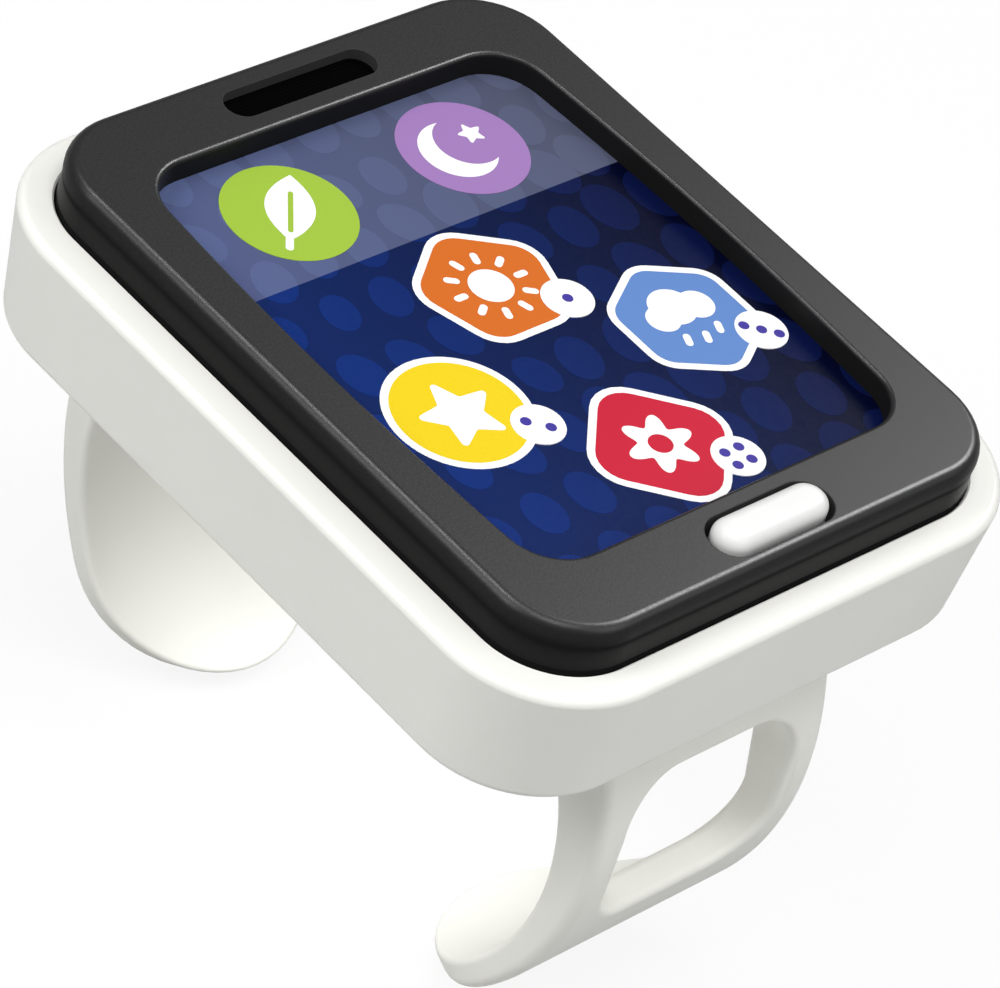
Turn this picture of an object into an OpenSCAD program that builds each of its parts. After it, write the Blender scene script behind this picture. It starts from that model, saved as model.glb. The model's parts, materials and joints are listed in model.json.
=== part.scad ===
// Toy watch: a white case with two open wrist cuff arms, a dark bezel round a printed
// screen, a speaker slot and a sprung home button. Lengths in millimetres, +Z up,
// +Y towards 12 o'clock, standing on the tips of the cuff arms at z = 0.

/* [Screen window] */
// Width of the window, at the middle of its bowed sides
window_w = 38; // [34:0.5:42]
// Length of the window
window_l = 44.8; // [40:0.4:50]
// How far each long side bows outward
window_bow = 0.95; // [0.4:0.05:1.4]
// Radius of the window corners
window_corner = 4.2; // [3:0.1:5]

/* [Bezel] */
// Bezel margin beside the window
side_margin = 4; // [3.5:0.1:6]
// Bezel margin above and below the window
end_margin = 6.7; // [6.5:0.1:9]
// Height of the bezel above the white rim
bezel_h = 4; // [3.4:0.1:5]
// Radius of the bezel corners
bezel_corner = 6.8; // [6:0.1:8]
// Rounding of the bezel's top edge
bezel_fillet = 0.9; // [0.4:0.1:1.1]
// Depth of the waist round the bezel's side
bezel_waist = 0.45; // [0.2:0.05:0.7]
// Wall of the bezel
bezel_wall = 1.5; // [1.2:0.1:1.8]
// Thickness of the bezel's top plate, which is the depth of the screen recess
plate_t = 2; // [1.6:0.1:2.4]
// Depth of the bezel's skirt inside the case
skirt_d = 2; // [1:0.1:2.4]

/* [Case] */
// White rim beside the bezel
rim_x = 3; // [2.4:0.1:4]
// White rim at the 12 and 6 o'clock ends
rim_y = 2.7; // [2.4:0.1:4]
// Radius of the case corners
case_corner = 10; // [8.5:0.1:11]
// How far the case walls draw in towards the underside
case_draft = 0.8; // [0.4:0.1:1.1]
// Thickness of the case floor
floor_t = 2; // [1.6:0.1:2.4]
// Rounding of the rim's outer edge
rim_fillet = 0.7; // [0.4:0.1:1.1]
// Rounding of the underside's edge
base_fillet = 0.9; // [0.4:0.1:1.2]

/* [Wrist cuff] */
// Reach of the arms' inner face from the middle of the wrist
cuff_r = 26.35; // [25:0.05:27]
// Radius of the arms' inner curve
bend_r = 20; // [18:0.1:22]
// Radius of the arms' outer curve, larger, so that the arms taper towards their tips
back_r = 28.05; // [27:0.05:29]
// Difference in reach between the outer and inner faces
cuff_t = 3.7; // [3.2:0.1:4.2]
// Height of the outer curve's centre above the wrist axis
back_lift = 0.9; // [0.5:0.1:1.3]
// Depth of the inner curve's centre below the wrist axis
bend_drop = 2.6; // [2:0.1:3]
// Width of the cuff arms
cuff_w = 23; // [20:0.5:24]
// Least depth of the wrist axis below the case
cuff_drop = 14; // [13:0.1:15]
// Thickness of the arms where they enter the case
root_t = 7.4; // [6:0.1:7.6]
// Angle from the top at which the round tips begin
tip_angle = 121.5; // [118:0.1:125]
// Rounding of the long edges of the arms
cuff_edge = 1; // [0.4:0.1:1.4]
// Width of the window through each arm
eye_w = 17; // [14:0.5:18]
// Height of the window through each arm
eye_h = 14.3; // [11:0.1:14.5]
// Height of the window's middle above the wrist axis
eye_lift = 1.3; // [0:0.1:1.5]
// Corner radius of the window through each arm
eye_corner = 4.5; // [3:0.1:5]
// Thickness of the foot that holds each arm inside the case
foot_t = 1.8; // [1.4:0.1:2.2]

/* [Speaker slot] */
// Length of the speaker slot
slot_l = 14.4; // [11:0.2:18]
// Width of the speaker slot
slot_w = 3; // [2:0.1:3.4]
// Distance from the bezel's end to the middle of the slot
slot_edge = 3.6; // [3.4:0.1:4]
// Depth of the acoustic cloth below the bezel's top
cloth_depth = 0.9; // [0.6:0.1:1.2]
// Thickness of the acoustic cloth
cloth_t = 0.5; // [0.3:0.05:0.6]

/* [Home button] */
// Length of the button
button_l = 11.3; // [9:0.1:13]
// Width of the button
button_w = 3.3; // [2.8:0.1:3.5]
// Gap round the button in its slot
button_gap = 0.45; // [0.25:0.05:0.5]
// Distance from the bezel's end to the middle of the button
button_edge = 3.2; // [3.15:0.05:3.4]
// Height of the button's crown above the bezel
button_proud = 1.1; // [0.8:0.1:1.3]
// Travel of the button
button_travel = 1.2; // [0.8:0.1:1.3]
// Reach of the button's ears past its slot
button_ear = 1.1; // [0.8:0.1:1.6]
// Thickness of the button's ears
ear_t = 0.8; // [0.6:0.1:0.9]

/* [Screen] */
// Thickness of the printed label
label_t = 0.2; // [0.15:0.05:0.4]
// Thickness of the panel behind the label
panel_t = 1.2; // [1:0.1:1.6]
// Overlap of the panel behind the window's edge
panel_lap = 1; // [0.8:0.1:1.1]

/* [Circuit board] */
// Thickness of the circuit board
board_t = 1.2; // [1:0.1:1.6]
// Room between the board and the screen panel
board_room = 1.4; // [1.35:0.05:2]
// Height of the moulded chip cover
chip_h = 0.9; // [0.6:0.1:1.1]
// Diameter of the chip cover
chip_d = 9; // [6:0.5:11]

/* [Batteries] */
// Diameter of a button cell
cell_d = 11.6; // [9:0.1:12]
// Height of a button cell
cell_h = 5.4; // [4.8:0.1:5.8]
// Gap between the two cells
cell_space = 0.6; // [0.4:0.1:1.2]
// Gap between the battery well and the front arm's foot
well_gap = 0.8; // [0.4:0.1:1.2]
// Height of the contact springs above the cells
spring_h = 1.1; // [0.9:0.1:1.5]
// Thickness of the contact strip and springs
strip_t = 0.3; // [0.2:0.05:0.4]
// Width of the contact strip
strip_w = 5; // [4:0.5:8]
// Distance of the contact strip's ends from the ends of the well
strip_inset = 2; // [1:0.5:4]
// Wall round the battery well
well_wall = 1.4; // [1:0.1:1.6]
// Thickness of the battery door
door_t = 1.8; // [1.6:0.1:2.2]
// Ledge under the edge of the battery door
door_ledge = 1.6; // [1.2:0.1:2]

/* [Speaker] */
// Diameter of the speaker
speaker_d = 20; // [17:0.5:20.5]
// Height of the speaker's frame
speaker_h = 2.4; // [2:0.1:2.8]
// Diameter of the speaker's magnet pot
magnet_d = 12; // [9:0.5:13]
// Height of the magnet pot below the frame
magnet_h = 2.4; // [1.8:0.1:2.6]

/* [Screws] */
// Thread diameter of the screws
screw_d = 2; // [1.8:0.1:2.2]
// Head diameter of the screws
head_d = 3.6; // [3.2:0.1:3.8]
// Head height of the screws
head_h = 1; // [0.8:0.1:1.1]
// Grip of a screw in its pilot hole
screw_grip = 3.2; // [2.6:0.1:3.4]
// Wall round a pilot hole
boss_wall = 1.3; // [1.1:0.1:1.4]
// Distance of the case screws from the bezel's sides
boss_inset = 3.6; // [3.4:0.1:3.8]

/* [Fits] */
// Gap between the bezel's skirt and the case
case_gap = 0.1; // [0.05:0.05:0.2]
// Gap round fixed pieces in their seats
seat_gap = 0.2; // [0.1:0.05:0.3]
// Play under the button's ears
ear_play = 0.1; // [0.05:0.05:0.2]

/* [Hidden] */
$fn = 96;
eps = 0.01;

// Plan sizes
bezel_w = window_w + 2 * side_margin;
bezel_l = window_l + 2 * end_margin;
case_w = bezel_w + 2 * rim_x;
case_l = bezel_l + 2 * rim_y;
cavity_w = bezel_w + 2 * case_gap;
cavity_l = bezel_l + 2 * case_gap;
inner_w = bezel_w - 2 * bezel_wall;
inner_l = bezel_l - 2 * bezel_wall;
panel_w = window_w + 2 * panel_lap;
panel_l = window_l + 2 * panel_lap;

// Wrist cuff: the arms leave the case where their feet have room, so a wide cuff hangs lower
foot_lap = 1.2;
back_y = cuff_r + cuff_t - back_r;
bend_y = cuff_r - bend_r;
root_max = cavity_l / 2 - foot_lap - 2 * seat_gap;
axis_drop = max(cuff_drop, back_lift + sqrt(max(0, pow(back_r, 2) - pow(root_max - back_y, 2))));
root_y = back_y + sqrt(pow(back_r, 2) - pow(axis_drop - back_lift, 2));

// The lowest point is where the outer curve ends in the round tip; it sets the height of the wrist axis.
// The tip is a touch rounder than the arm is wide, so that its edge meets the sides at a clear line.
tip_r = cuff_w / 2 + 0.05;
tip_slide = back_y * cos(tip_angle) - back_lift * sin(tip_angle);
tip_reach = back_y * sin(tip_angle) + back_lift * cos(tip_angle)
    + sqrt(pow(back_r, 2) - pow(tip_r - tip_slide, 2));
axis_z = tip_r * sin(tip_angle) - tip_reach * cos(tip_angle);

// Heights, from the underside of the case up to the top of the bezel
under_z = axis_z + axis_drop;
floor_z = under_z + floor_t;
strip_z = under_z + door_t;
cell_z = strip_z + strip_t;
spring_z = cell_z + cell_h;
board_z = spring_z + spring_h;
board_top = board_z + board_t;
panel_z = board_top + board_room;
label_z = panel_z + panel_t;
plate_z = label_z + label_t;
top_z = plate_z + plate_t;
rim_z = top_z - bezel_h;
skirt_z = rim_z - skirt_d;
ear_z = plate_z - ear_play - ear_t;

// Places in plan
boss_x = bezel_w / 2 - boss_inset;
boss_y = bezel_l / 2 - boss_inset;
slot_y = bezel_l / 2 - slot_edge;
button_y = -bezel_l / 2 + button_edge;
speaker_rim = 1.2;
speaker_y = inner_l / 2 - speaker_d / 2 - seat_gap;
board_end = speaker_y - speaker_d / 2 - 3 * seat_gap;

// Fasteners
pilot_d = screw_d - 0.3;
core_d = pilot_d - 0.1;
hole_d = screw_d + 0.4;
pilot_spare = 0.4;
bore_d = head_d + 2 * seat_gap;
bore_depth = head_h + 2 * seat_gap;
boss_r = pilot_d / 2 + boss_wall;
post_r = hole_d / 2 + boss_wall;

// Feet of the cuff arms, in the case beside the slots that the arms pass through
foot_y = root_y - root_t / 2;
foot_x = cuff_w / 2 + bore_d / 2 + boss_wall - 2 * seat_gap;
foot_l = root_t + 2 * foot_lap;
foot_grip = screw_grip + floor_t - bore_depth - 2 * seat_gap;
foot_boss_h = foot_grip + 0.6;

// Battery well and door
well_w = 2 * cell_d + cell_space + 4 * seat_gap;
well_l = cell_d + 4 * seat_gap;
door_x0 = -well_w / 2 - door_ledge;
door_l = well_l + 2 * door_ledge;
door_screw_x = well_w / 2 + well_wall + boss_r;
door_x1 = door_screw_x + boss_r + seat_gap;
door_corner = 1.5;
pad_rim = 1.6;
pad_h = door_t + 1.8;
cell_y = foot_y - foot_l / 2 - well_gap - door_l / 2 - pad_rim;
boss_cap = 0.8;
tab_w = 6;
tab_l = 1.8;
tab_t = 1;

// Circuit board posts stand clear of the battery door and the speaker
post_x = inner_w / 2 - boss_r - 1.2;
post_front_y = -cell_y - door_l / 2 - pad_rim;
post_rear_y = board_end - boss_r - 2 * seat_gap;

// Points along an arc, from angle a0 to a1
function arc(cx, cy, r, a0, a1, n = 5) =
    [for (i = [0 : n]) let (a = a0 + (a1 - a0) * i / n) [cx + r * cos(a), cy + r * sin(a)]];

// Outline of the case wall: offset from its nominal side against height, from the floor up
function case_side() = concat(
    arc(-case_draft - base_fillet, under_z + base_fillet, base_fillet, -90, -5),
    arc(-rim_fillet, rim_z - rim_fillet, rim_fillet, 0, 90));

// Outline of the bezel's side: the skirt, the lower band, the waist and the rounded top edge
function bezel_side() = concat(
    [[0, skirt_z], [0, rim_z + 0.2 * bezel_h]],
    [for (i = [1 : 7]) [-bezel_waist * (1 - cos(45 * i)) / 2, rim_z + bezel_h * (0.2 + 0.4 * i / 8)]],
    [[0, rim_z + 0.6 * bezel_h]],
    arc(-bezel_fillet, top_z - bezel_fillet, bezel_fillet, 0, 90));

// A solid with a rounded rectangle as its plan and the given outline on its sides
module moulded(w, l, r, side) {
    x = w / 2 - r;
    y = l / 2 - r;
    z0 = side[0][1];
    z1 = side[len(side) - 1][1];
    post = concat([[0, z0]], [for (p = side) [r + p[0], p[1]]], [[0, z1]]);
    for (sx = [-1, 1], sy = [-1, 1])
        translate([sx * x, sy * y, 0])
            rotate_extrude()
                polygon(post);
    rotate([90, 0, 0])
        translate([0, 0, -y])
            linear_extrude(2 * y)
                polygon(both_sides(w / 2, side));
    rotate([90, 0, 90])
        translate([0, 0, -x])
            linear_extrude(2 * x)
                polygon(both_sides(l / 2, side));
}

// Cross-section with the same outline on both sides
function both_sides(half, side) = concat(
    [for (p = side) [half + p[0], p[1]]],
    [for (i = [len(side) - 1 : -1 : 0]) [-half - side[i][0], side[i][1]]]);

// A straight block with a rounded rectangle as its plan
module block(w, l, r, z0, z1) {
    moulded(w, l, r, [[0, z0], [0, z1]]);
}

// A straight bar with round ends along X
module bar(l, w, z0, z1) {
    x = (l - w) / 2;
    translate([-x, -w / 2, z0])
        cube([2 * x, w, z1 - z0]);
    for (s = [-1, 1])
        translate([s * x, 0, z0])
            cylinder(d = w, h = z1 - z0);
}

// A box from its two corners
module box(lo, hi) {
    translate(lo)
        cube(hi - lo);
}

// Window outline with bowed long sides, grown by a lap
module bowed(w, l, r, z0, z1) {
    corner_y = l / 2 - r;
    bow_r = (pow(l / 2, 2) + pow(window_bow, 2)) / (2 * window_bow);
    corner_x = w / 2 - bow_r + sqrt(pow(bow_r, 2) - pow(corner_y, 2)) - r;
    intersection() {
        box([-w / 2, -corner_y, z0], [w / 2, corner_y, z1]);
        translate([w / 2 - bow_r, 0, z0])
            cylinder(r = bow_r, h = z1 - z0, $fn = 720);
        translate([bow_r - w / 2, 0, z0])
            cylinder(r = bow_r, h = z1 - z0, $fn = 720);
    }
    box([-corner_x, -l / 2, z0], [corner_x, l / 2, z1]);
    for (sx = [-1, 1], sy = [-1, 1])
        translate([sx * corner_x, sy * corner_y, z0])
            cylinder(r = r, h = z1 - z0);
}

// Copies at the four corners of a rectangle
module corners(x, y) {
    for (sx = [-1, 1], sy = [-1, 1])
        translate([sx * x, sy * y, 0])
            children();
}

// Copies at the places of the board screws
module board_places() {
    for (sx = [-1, 1], y = [post_front_y, post_rear_y])
        translate([sx * post_x, y, 0])
            children();
}

// Round hole between two heights
module hole(d, z0, z1) {
    translate([0, 0, z0])
        cylinder(d = d, h = z1 - z0);
}

// A screw with its head at the bottom, pointing up from z, or the other way round
module screw(z, length) {
    turn = length > 0 ? 0 : 180;
    recess_l = 0.6 * head_d;
    recess_w = 0.2 * head_d;
    recess_h = 0.4 * head_h;
    translate([0, 0, z])
        rotate([turn, 0, 0])
            difference() {
                union() {
                    hole(core_d, head_h - eps, head_h + abs(length));
                    hole(head_d, 0, head_h);
                }
                for (a = [0, 90])
                    rotate([0, 0, a])
                        box([-recess_l / 2, -recess_w / 2, -eps], [recess_l / 2, recess_w / 2, recess_h]);
            }
}

// A drum along X, with its middle at y and its height above the wrist axis
module drum(y, lift, outline) {
    translate([0, y, axis_z + lift])
        rotate([0, 90, 0])
            rotate_extrude()
                polygon(outline);
}

// The curved wall that an arm is cut from, with rounded long edges, grown by a gap for its slot
module cuff_wall(gap) {
    e = cuff_edge;
    h = cuff_w / 2 + gap;
    r0 = bend_r - gap;
    r1 = back_r + gap;
    far = 2 * cuff_w;
    back = concat([[0, -h]], arc(r1 - e, e - h, e, -90, 0, 4), arc(r1 - e, h - e, e, 0, 90, 4), [[0, h]]);
    bend = concat([[0, -far], [r0 + e, -far]], arc(r0 + e, e - h, e, -90, -180, 4),
                  arc(r0 + e, h - e, e, 180, 90, 4), [[r0 + e, far], [0, far]]);
    difference() {
        drum(back_y, back_lift, back);
        drum(bend_y, -bend_drop, bend);
    }
}

// Tongue-shaped plan of an arm, square to it where its round tip begins
module tongue() {
    reach = 2 * back_r;
    translate([0, 0, axis_z])
        rotate([-tip_angle, 0, 0]) {
            box([-cuff_w, -2 * reach, 0], [cuff_w, 0, reach]);
            cylinder(r = tip_r, h = reach);
        }
}

// Rounded window through an arm, along Y
module eye() {
    x = eye_w / 2 - eye_corner;
    z = eye_h / 2 - eye_corner;
    y0 = bend_r / 2;
    y1 = 2 * back_r;
    translate([0, 0, axis_z + eye_lift]) {
        box([-x, y0, -eye_h / 2], [x, y1, eye_h / 2]);
        box([-eye_w / 2, y0, -z], [eye_w / 2, y1, z]);
        for (sx = [-1, 1], sz = [-1, 1])
            translate([sx * x, y0, sz * z])
                rotate([-90, 0, 0])
                    cylinder(r = eye_corner, h = y1 - y0);
    }
}

// One arm of the cuff, at 12 o'clock, with the foot that holds it inside the case
module cuff_arm() {
    foot_z = floor_z + foot_t;
    foot_w = 2 * boss_r + 0.8;
    root_x = cuff_w / 2 + seat_gap;
    difference() {
        union() {
            intersection() {
                cuff_wall(0);
                tongue();
                union() {
                    box([-case_w, 0, -1], [case_w, case_l, axis_z]);
                    box([-case_w, root_y - root_t, axis_z - 1], [case_w, case_l, floor_z + foot_t / 2]);
                }
            }
            translate([0, foot_y, 0]) {
                bar(2 * foot_x + foot_w, foot_w, floor_z, foot_z);
                box([-root_x, -foot_l / 2, floor_z], [root_x, foot_l / 2, foot_z]);
                for (s = [-1, 1])
                    translate([s * foot_x, 0, 0])
                        hole(2 * boss_r, floor_z, floor_z + foot_boss_h);
            }
        }
        eye();
        translate([0, foot_y, 0])
            for (s = [-1, 1])
                translate([s * foot_x, 0, 0])
                    hole(pilot_d, floor_z - 1, floor_z + foot_grip);
    }
}

module cuff_arm_rear() {
    color("whitesmoke")
        cuff_arm();
}

module cuff_arm_front() {
    color("whitesmoke")
        rotate([0, 0, 180])
            cuff_arm();
}

// White shell: drafted walls, floor, screw posts, board posts, battery well and speaker ribs
module lower_case() {
    color("whitesmoke")
        difference() {
            union() {
                difference() {
                    moulded(case_w, case_l, case_corner, case_side());
                    block(cavity_w, cavity_l, bezel_corner + case_gap, floor_z, top_z);
                }
                corners(boss_x, boss_y)
                    hole(2 * post_r, floor_z - eps, skirt_z);
                board_places()
                    hole(2 * boss_r, floor_z - eps, board_z);
                battery_well();
                speaker_ribs();
            }
            case_openings();
        }
}

// Battery well: a pad round the door with the walls that hold the cells
module battery_well() {
    translate([0, -cell_y, 0]) {
        box([door_x0 - tab_l - pad_rim, -door_l / 2 - pad_rim, floor_z - eps],
            [door_x1 + pad_rim, door_l / 2 + pad_rim, under_z + pad_h]);
        box([-well_w / 2 - well_wall, -well_l / 2 - well_wall, floor_z - eps],
            [well_w / 2 + well_wall, well_l / 2 + well_wall, spring_z - seat_gap]);
        translate([door_screw_x, 0, 0])
            hole(2 * boss_r, floor_z - eps, strip_z + screw_grip + boss_cap);
    }
}

// Two ribs that carry the speaker's frame, ending short of the rear arm's foot
module speaker_ribs() {
    rib_t = 1.4;
    x = (speaker_d + magnet_d) / 4;
    y0 = speaker_y - sqrt(pow(speaker_d / 2, 2) - pow(x + rib_t / 2, 2));
    y1 = foot_y - foot_l / 2 - 2 * seat_gap;
    for (s = [-1, 1])
        box([s * x - rib_t / 2, y0, floor_z - eps], [s * x + rib_t / 2, y1, frame_z()]);
}

// Height of the speaker frame's underside
function frame_z() = board_top - speaker_h;

// Slots for the arms, screw holes and the battery opening
module case_openings() {
    for (a = [0, 180])
        rotate([0, 0, a]) {
            intersection() {
                cuff_wall(seat_gap);
                box([-case_w, root_y - root_t - seat_gap, under_z - 1], [case_w, case_l, floor_z + eps]);
            }
            for (s = [-1, 1])
                translate([s * foot_x, foot_y, 0]) {
                    hole(hole_d, under_z - 1, floor_z + 1);
                    hole(bore_d, under_z - 1, under_z + bore_depth);
                }
        }
    corners(boss_x, boss_y) {
        hole(hole_d, under_z - 1, rim_z);
        hole(bore_d, under_z - 1, case_screw_z() + head_h);
    }
    board_places()
        hole(pilot_d, board_z - screw_grip - pilot_spare, board_z + 1);
    translate([0, -cell_y, 0]) {
        box([-well_w / 2, -well_l / 2, under_z - 1], [well_w / 2, well_l / 2, board_z]);
        door_plate(seat_gap, under_z - 1);
        box([door_x0 - tab_l - seat_gap, -tab_w / 2 - seat_gap, strip_z - tab_t - seat_gap],
            [door_x0, tab_w / 2 + seat_gap, strip_z + seat_gap]);
        translate([door_screw_x, 0, 0])
            hole(pilot_d, strip_z - 1, strip_z + screw_grip);
    }
}

// Plate of the battery door, grown by a gap for its opening, from z0 up to its ledge
module door_plate(gap, z0) {
    translate([(door_x0 + door_x1) / 2, 0, 0])
        block(door_x1 - door_x0 + 2 * gap, door_l + 2 * gap, door_corner + gap, z0, strip_z);
}

// Height of the case screws' heads, sunk so that the thread grips the bezel's bosses
function case_screw_z() = under_z + bore_depth;

// Dark bezel with the screen window, the button and speaker slots and four screw bosses
module bezel() {
    color([0.2, 0.2, 0.21])
        difference() {
            union() {
                difference() {
                    moulded(bezel_w, bezel_l, bezel_corner, bezel_side());
                    block(inner_w, inner_l, bezel_corner - bezel_wall, skirt_z - 1, plate_z);
                }
                intersection() {
                    corners(boss_x, boss_y)
                        hole(2 * boss_r, skirt_z, plate_z + eps);
                    block(bezel_w, bezel_l, bezel_corner, skirt_z, top_z);
                }
            }
            bowed(window_w, window_l, window_corner, plate_z - 1, top_z + 1);
            translate([0, slot_y, 0]) {
                bar(slot_l, slot_w, plate_z - 1, top_z + 1);
                bar(cloth_l() + 2 * seat_gap, cloth_w() + 2 * seat_gap, plate_z - 1, top_z - cloth_depth);
            }
            translate([0, button_y, 0])
                bar(button_l + 2 * button_gap, button_w + 2 * button_gap, plate_z - 1, top_z + 1);
            corners(boss_x, boss_y)
                hole(pilot_d, skirt_z - 1, skirt_z + screw_grip);
        }
}

// Size of the acoustic cloth, which just covers the slot
function cloth_l() = slot_l + 1.6;
function cloth_w() = slot_w + 0.4;

module speaker_cloth() {
    color([0.03, 0.03, 0.03])
        translate([0, slot_y, 0])
            bar(cloth_l(), cloth_w(), top_z - cloth_depth - cloth_t, top_z - cloth_depth);
}

// Printed label and the panel that carries it, behind the window
module screen_label() {
    color([0.06, 0.14, 0.4])
        bowed(panel_w, panel_l, window_corner + panel_lap, label_z, plate_z);
}

module screen_panel() {
    color("white")
        bowed(panel_w, panel_l, window_corner + panel_lap, panel_z, label_z);
}

// Home button: a capsule-shaped crown over a straight body with two ears under the bezel
module home_button() {
    r = button_w / 2;
    x = button_l / 2 - r;
    crown_z = top_z + button_proud - r;
    ear_l = button_l + 2 * button_gap + 2 * button_ear;
    color("white")
        translate([0, button_y, 0]) {
            bar(button_l, button_w, ear_z, crown_z);
            box([-ear_l / 2, -r + seat_gap, ear_z], [ear_l / 2, r - seat_gap, ear_z + ear_t]);
            translate([-x, 0, crown_z])
                rotate([0, 90, 0])
                    cylinder(r = r, h = 2 * x);
            for (s = [-1, 1])
                translate([s * x, 0, crown_z])
                    sphere(r = r);
        }
}

// Silicone pad that returns the button and closes the contact on the board
module button_pad() {
    pad_w = button_w - 0.9;
    base = ear_z - button_travel - board_top - 0.1;
    color([0.75, 0.75, 0.72])
        translate([0, button_y, 0]) {
            bar(button_l - 2, pad_w, board_top, board_top + base);
            translate([0, 0, board_top + base - eps])
                cylinder(d1 = pad_w, d2 = pad_w - 0.6, h = ear_z - board_top - base + eps);
        }
}

// Circuit board, cut away round the bezel's bosses
module circuit_board() {
    half_w = inner_w / 2 - 3 * seat_gap;
    front = -inner_l / 2 + 2 * seat_gap;
    color([0.1, 0.4, 0.2])
        difference() {
            box([-half_w, front, board_z], [half_w, board_end, board_top]);
            corners(boss_x, boss_y)
                hole(2 * post_r + 1, board_z - 1, board_top + 1);
            board_places()
                hole(hole_d, board_z - 1, board_top + 1);
        }
}

// Round moulded cover over the sound chip
module chip_cover() {
    dome = [for (a = [0 : 15 : 90]) [chip_d / 2 * cos(a), board_top + chip_h * sin(a)]];
    color([0.05, 0.05, 0.05])
        translate([0, -cell_y, 0])
            rotate_extrude()
                polygon(concat([[0, board_top]], dome));
}

module board_screws() {
    color("silver")
        board_places()
            screw(board_top + head_h, -(board_t + screw_grip - eps));
}

// Mylar speaker: frame, magnet pot and dished cone
module speaker_frame() {
    wall = 0.6;
    color([0.35, 0.35, 0.37])
        translate([0, speaker_y, 0])
            difference() {
                hole(speaker_d, frame_z(), frame_z() + speaker_h);
                hole(speaker_d - 2 * speaker_rim, frame_z() + wall, frame_z() + speaker_h + 1);
                hole(2 / 3 * magnet_d, frame_z() - 1, frame_z() + 1);
            }
}

module speaker_magnet() {
    color("silver")
        translate([0, speaker_y, 0])
            difference() {
                hole(magnet_d, frame_z() - magnet_h, frame_z());
                hole(magnet_d / 3, frame_z() - magnet_h - 1, frame_z() - 0.8 * magnet_h);
            }
}

module speaker_cone() {
    r = speaker_d / 2 - speaker_rim - seat_gap / 2;
    h = speaker_h;
    t = h / 8;
    z = frame_z() + h;
    dish = [[0, z - 0.1 * h], [0.3 * r, z - 0.2 * h], [0.5 * r, z - 0.5 * h],
            [0.8 * r, z - 0.2 * h], [r, z - 0.2 * h]];
    lower = [for (i = [len(dish) - 1 : -1 : 0]) [dish[i][0], dish[i][1] - t]];
    color([0.15, 0.15, 0.16])
        translate([0, speaker_y, 0])
            rotate_extrude()
                polygon(concat(dish, lower));
}

// Two foam strips that press the speaker down, open towards the slot and the leads
module speaker_gasket() {
    w = 2;
    color([0.12, 0.12, 0.12])
        for (a = [130, 300])
            translate([0, speaker_y, 0])
                rotate([0, 0, a])
                    rotate_extrude(angle = 110)
                        translate([speaker_d / 2 - w, board_top])
                            square([w, board_room]);
}

// Two leads that arch from the board to the speaker's frame
module speaker_leads() {
    lead_d = 0.6;
    lead_x = 2.2;
    y0 = board_end - lead_d;
    y1 = speaker_y - speaker_d / 2 + lead_d;
    color([0.75, 0.1, 0.1])
        for (s = [-1, 1])
            translate([s * lead_x, (y0 + y1) / 2, board_top])
                rotate([90, 0, 90])
                    rotate_extrude(angle = 180)
                        translate([(y1 - y0) / 2, 0])
                            circle(d = lead_d, $fn = 24);
}

// Two button cells side by side, each with its stepped cap
module battery_cells() {
    cap = 0.5;
    r = cell_d / 2;
    x = (cell_d + cell_space) / 2;
    color("silver")
        for (s = [-1, 1])
            translate([s * x, -cell_y, 0]) {
                z0 = s > 0 ? cell_z + cap : cell_z;
                hole(cell_d, z0, z0 + cell_h - cap);
                hole(cell_d - 2, cell_z, spring_z);
            }
}

// Leaf springs under the board that press on the cells
module cell_springs() {
    w = 3;
    x = (cell_d + cell_space) / 2;
    reach = 3;
    leaf = [[-reach, board_z], [-reach, board_z - strip_t], [0, board_z - strip_t],
            [reach - 1, spring_z], [reach, spring_z], [reach, spring_z + strip_t],
            [reach - 1 + strip_t, spring_z + strip_t], [strip_t, board_z]];
    color("goldenrod")
        for (s = [-1, 1])
            translate([s * x, -cell_y, 0])
                rotate([90, 0, 0])
                    translate([0, 0, -w / 2])
                        linear_extrude(w)
                            polygon(leaf);
}

// Strip inside the battery door that joins the two cells
module door_strip() {
    color("goldenrod")
        translate([0, -cell_y, 0])
            bar(well_w - 2 * strip_inset, strip_w, strip_z, strip_z + strip_t);
}

// Battery door with its tab and its sunk screw
module battery_door() {
    color("whitesmoke")
        translate([0, -cell_y, 0])
            difference() {
                union() {
                    door_plate(0, under_z);
                    box([door_x0 - tab_l, -tab_w / 2, strip_z - tab_t], [door_x0 + 1, tab_w / 2, strip_z]);
                }
                translate([door_screw_x, 0, 0]) {
                    hole(hole_d, under_z - 1, strip_z + 1);
                    hole(bore_d, under_z - 1, under_z + head_h);
                }
            }
}

module door_screw() {
    color("silver")
        translate([door_screw_x, -cell_y, 0])
            screw(under_z, door_t - head_h + screw_grip - pilot_spare);
}

module case_screws() {
    color("silver")
        corners(boss_x, boss_y)
            screw(case_screw_z(), skirt_z + screw_grip - pilot_spare - case_screw_z() - head_h);
}

module cuff_screws() {
    color("silver")
        for (a = [0, 180], s = [-1, 1])
            rotate([0, 0, a])
                translate([s * foot_x, foot_y, 0])
                    screw(under_z + bore_depth - head_h, floor_t + foot_grip - pilot_spare - bore_depth);
}

lower_case();
cuff_arm_front();
cuff_arm_rear();
bezel();
screen_panel();
screen_label();
home_button();
button_pad();
speaker_cloth();
speaker_frame();
speaker_magnet();
speaker_cone();
speaker_gasket();
speaker_leads();
circuit_board();
chip_cover();
board_screws();
battery_cells();
cell_springs();
door_strip();
battery_door();
door_screw();
case_screws();
cuff_screws();
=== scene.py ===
# Toy watch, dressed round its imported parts. Outlines are drawn in millimetres, the scene is in metres.
import bpy
import bmesh
import json
import math
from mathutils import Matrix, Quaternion, Vector
from mathutils.geometry import delaunay_2d_cdt


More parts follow.
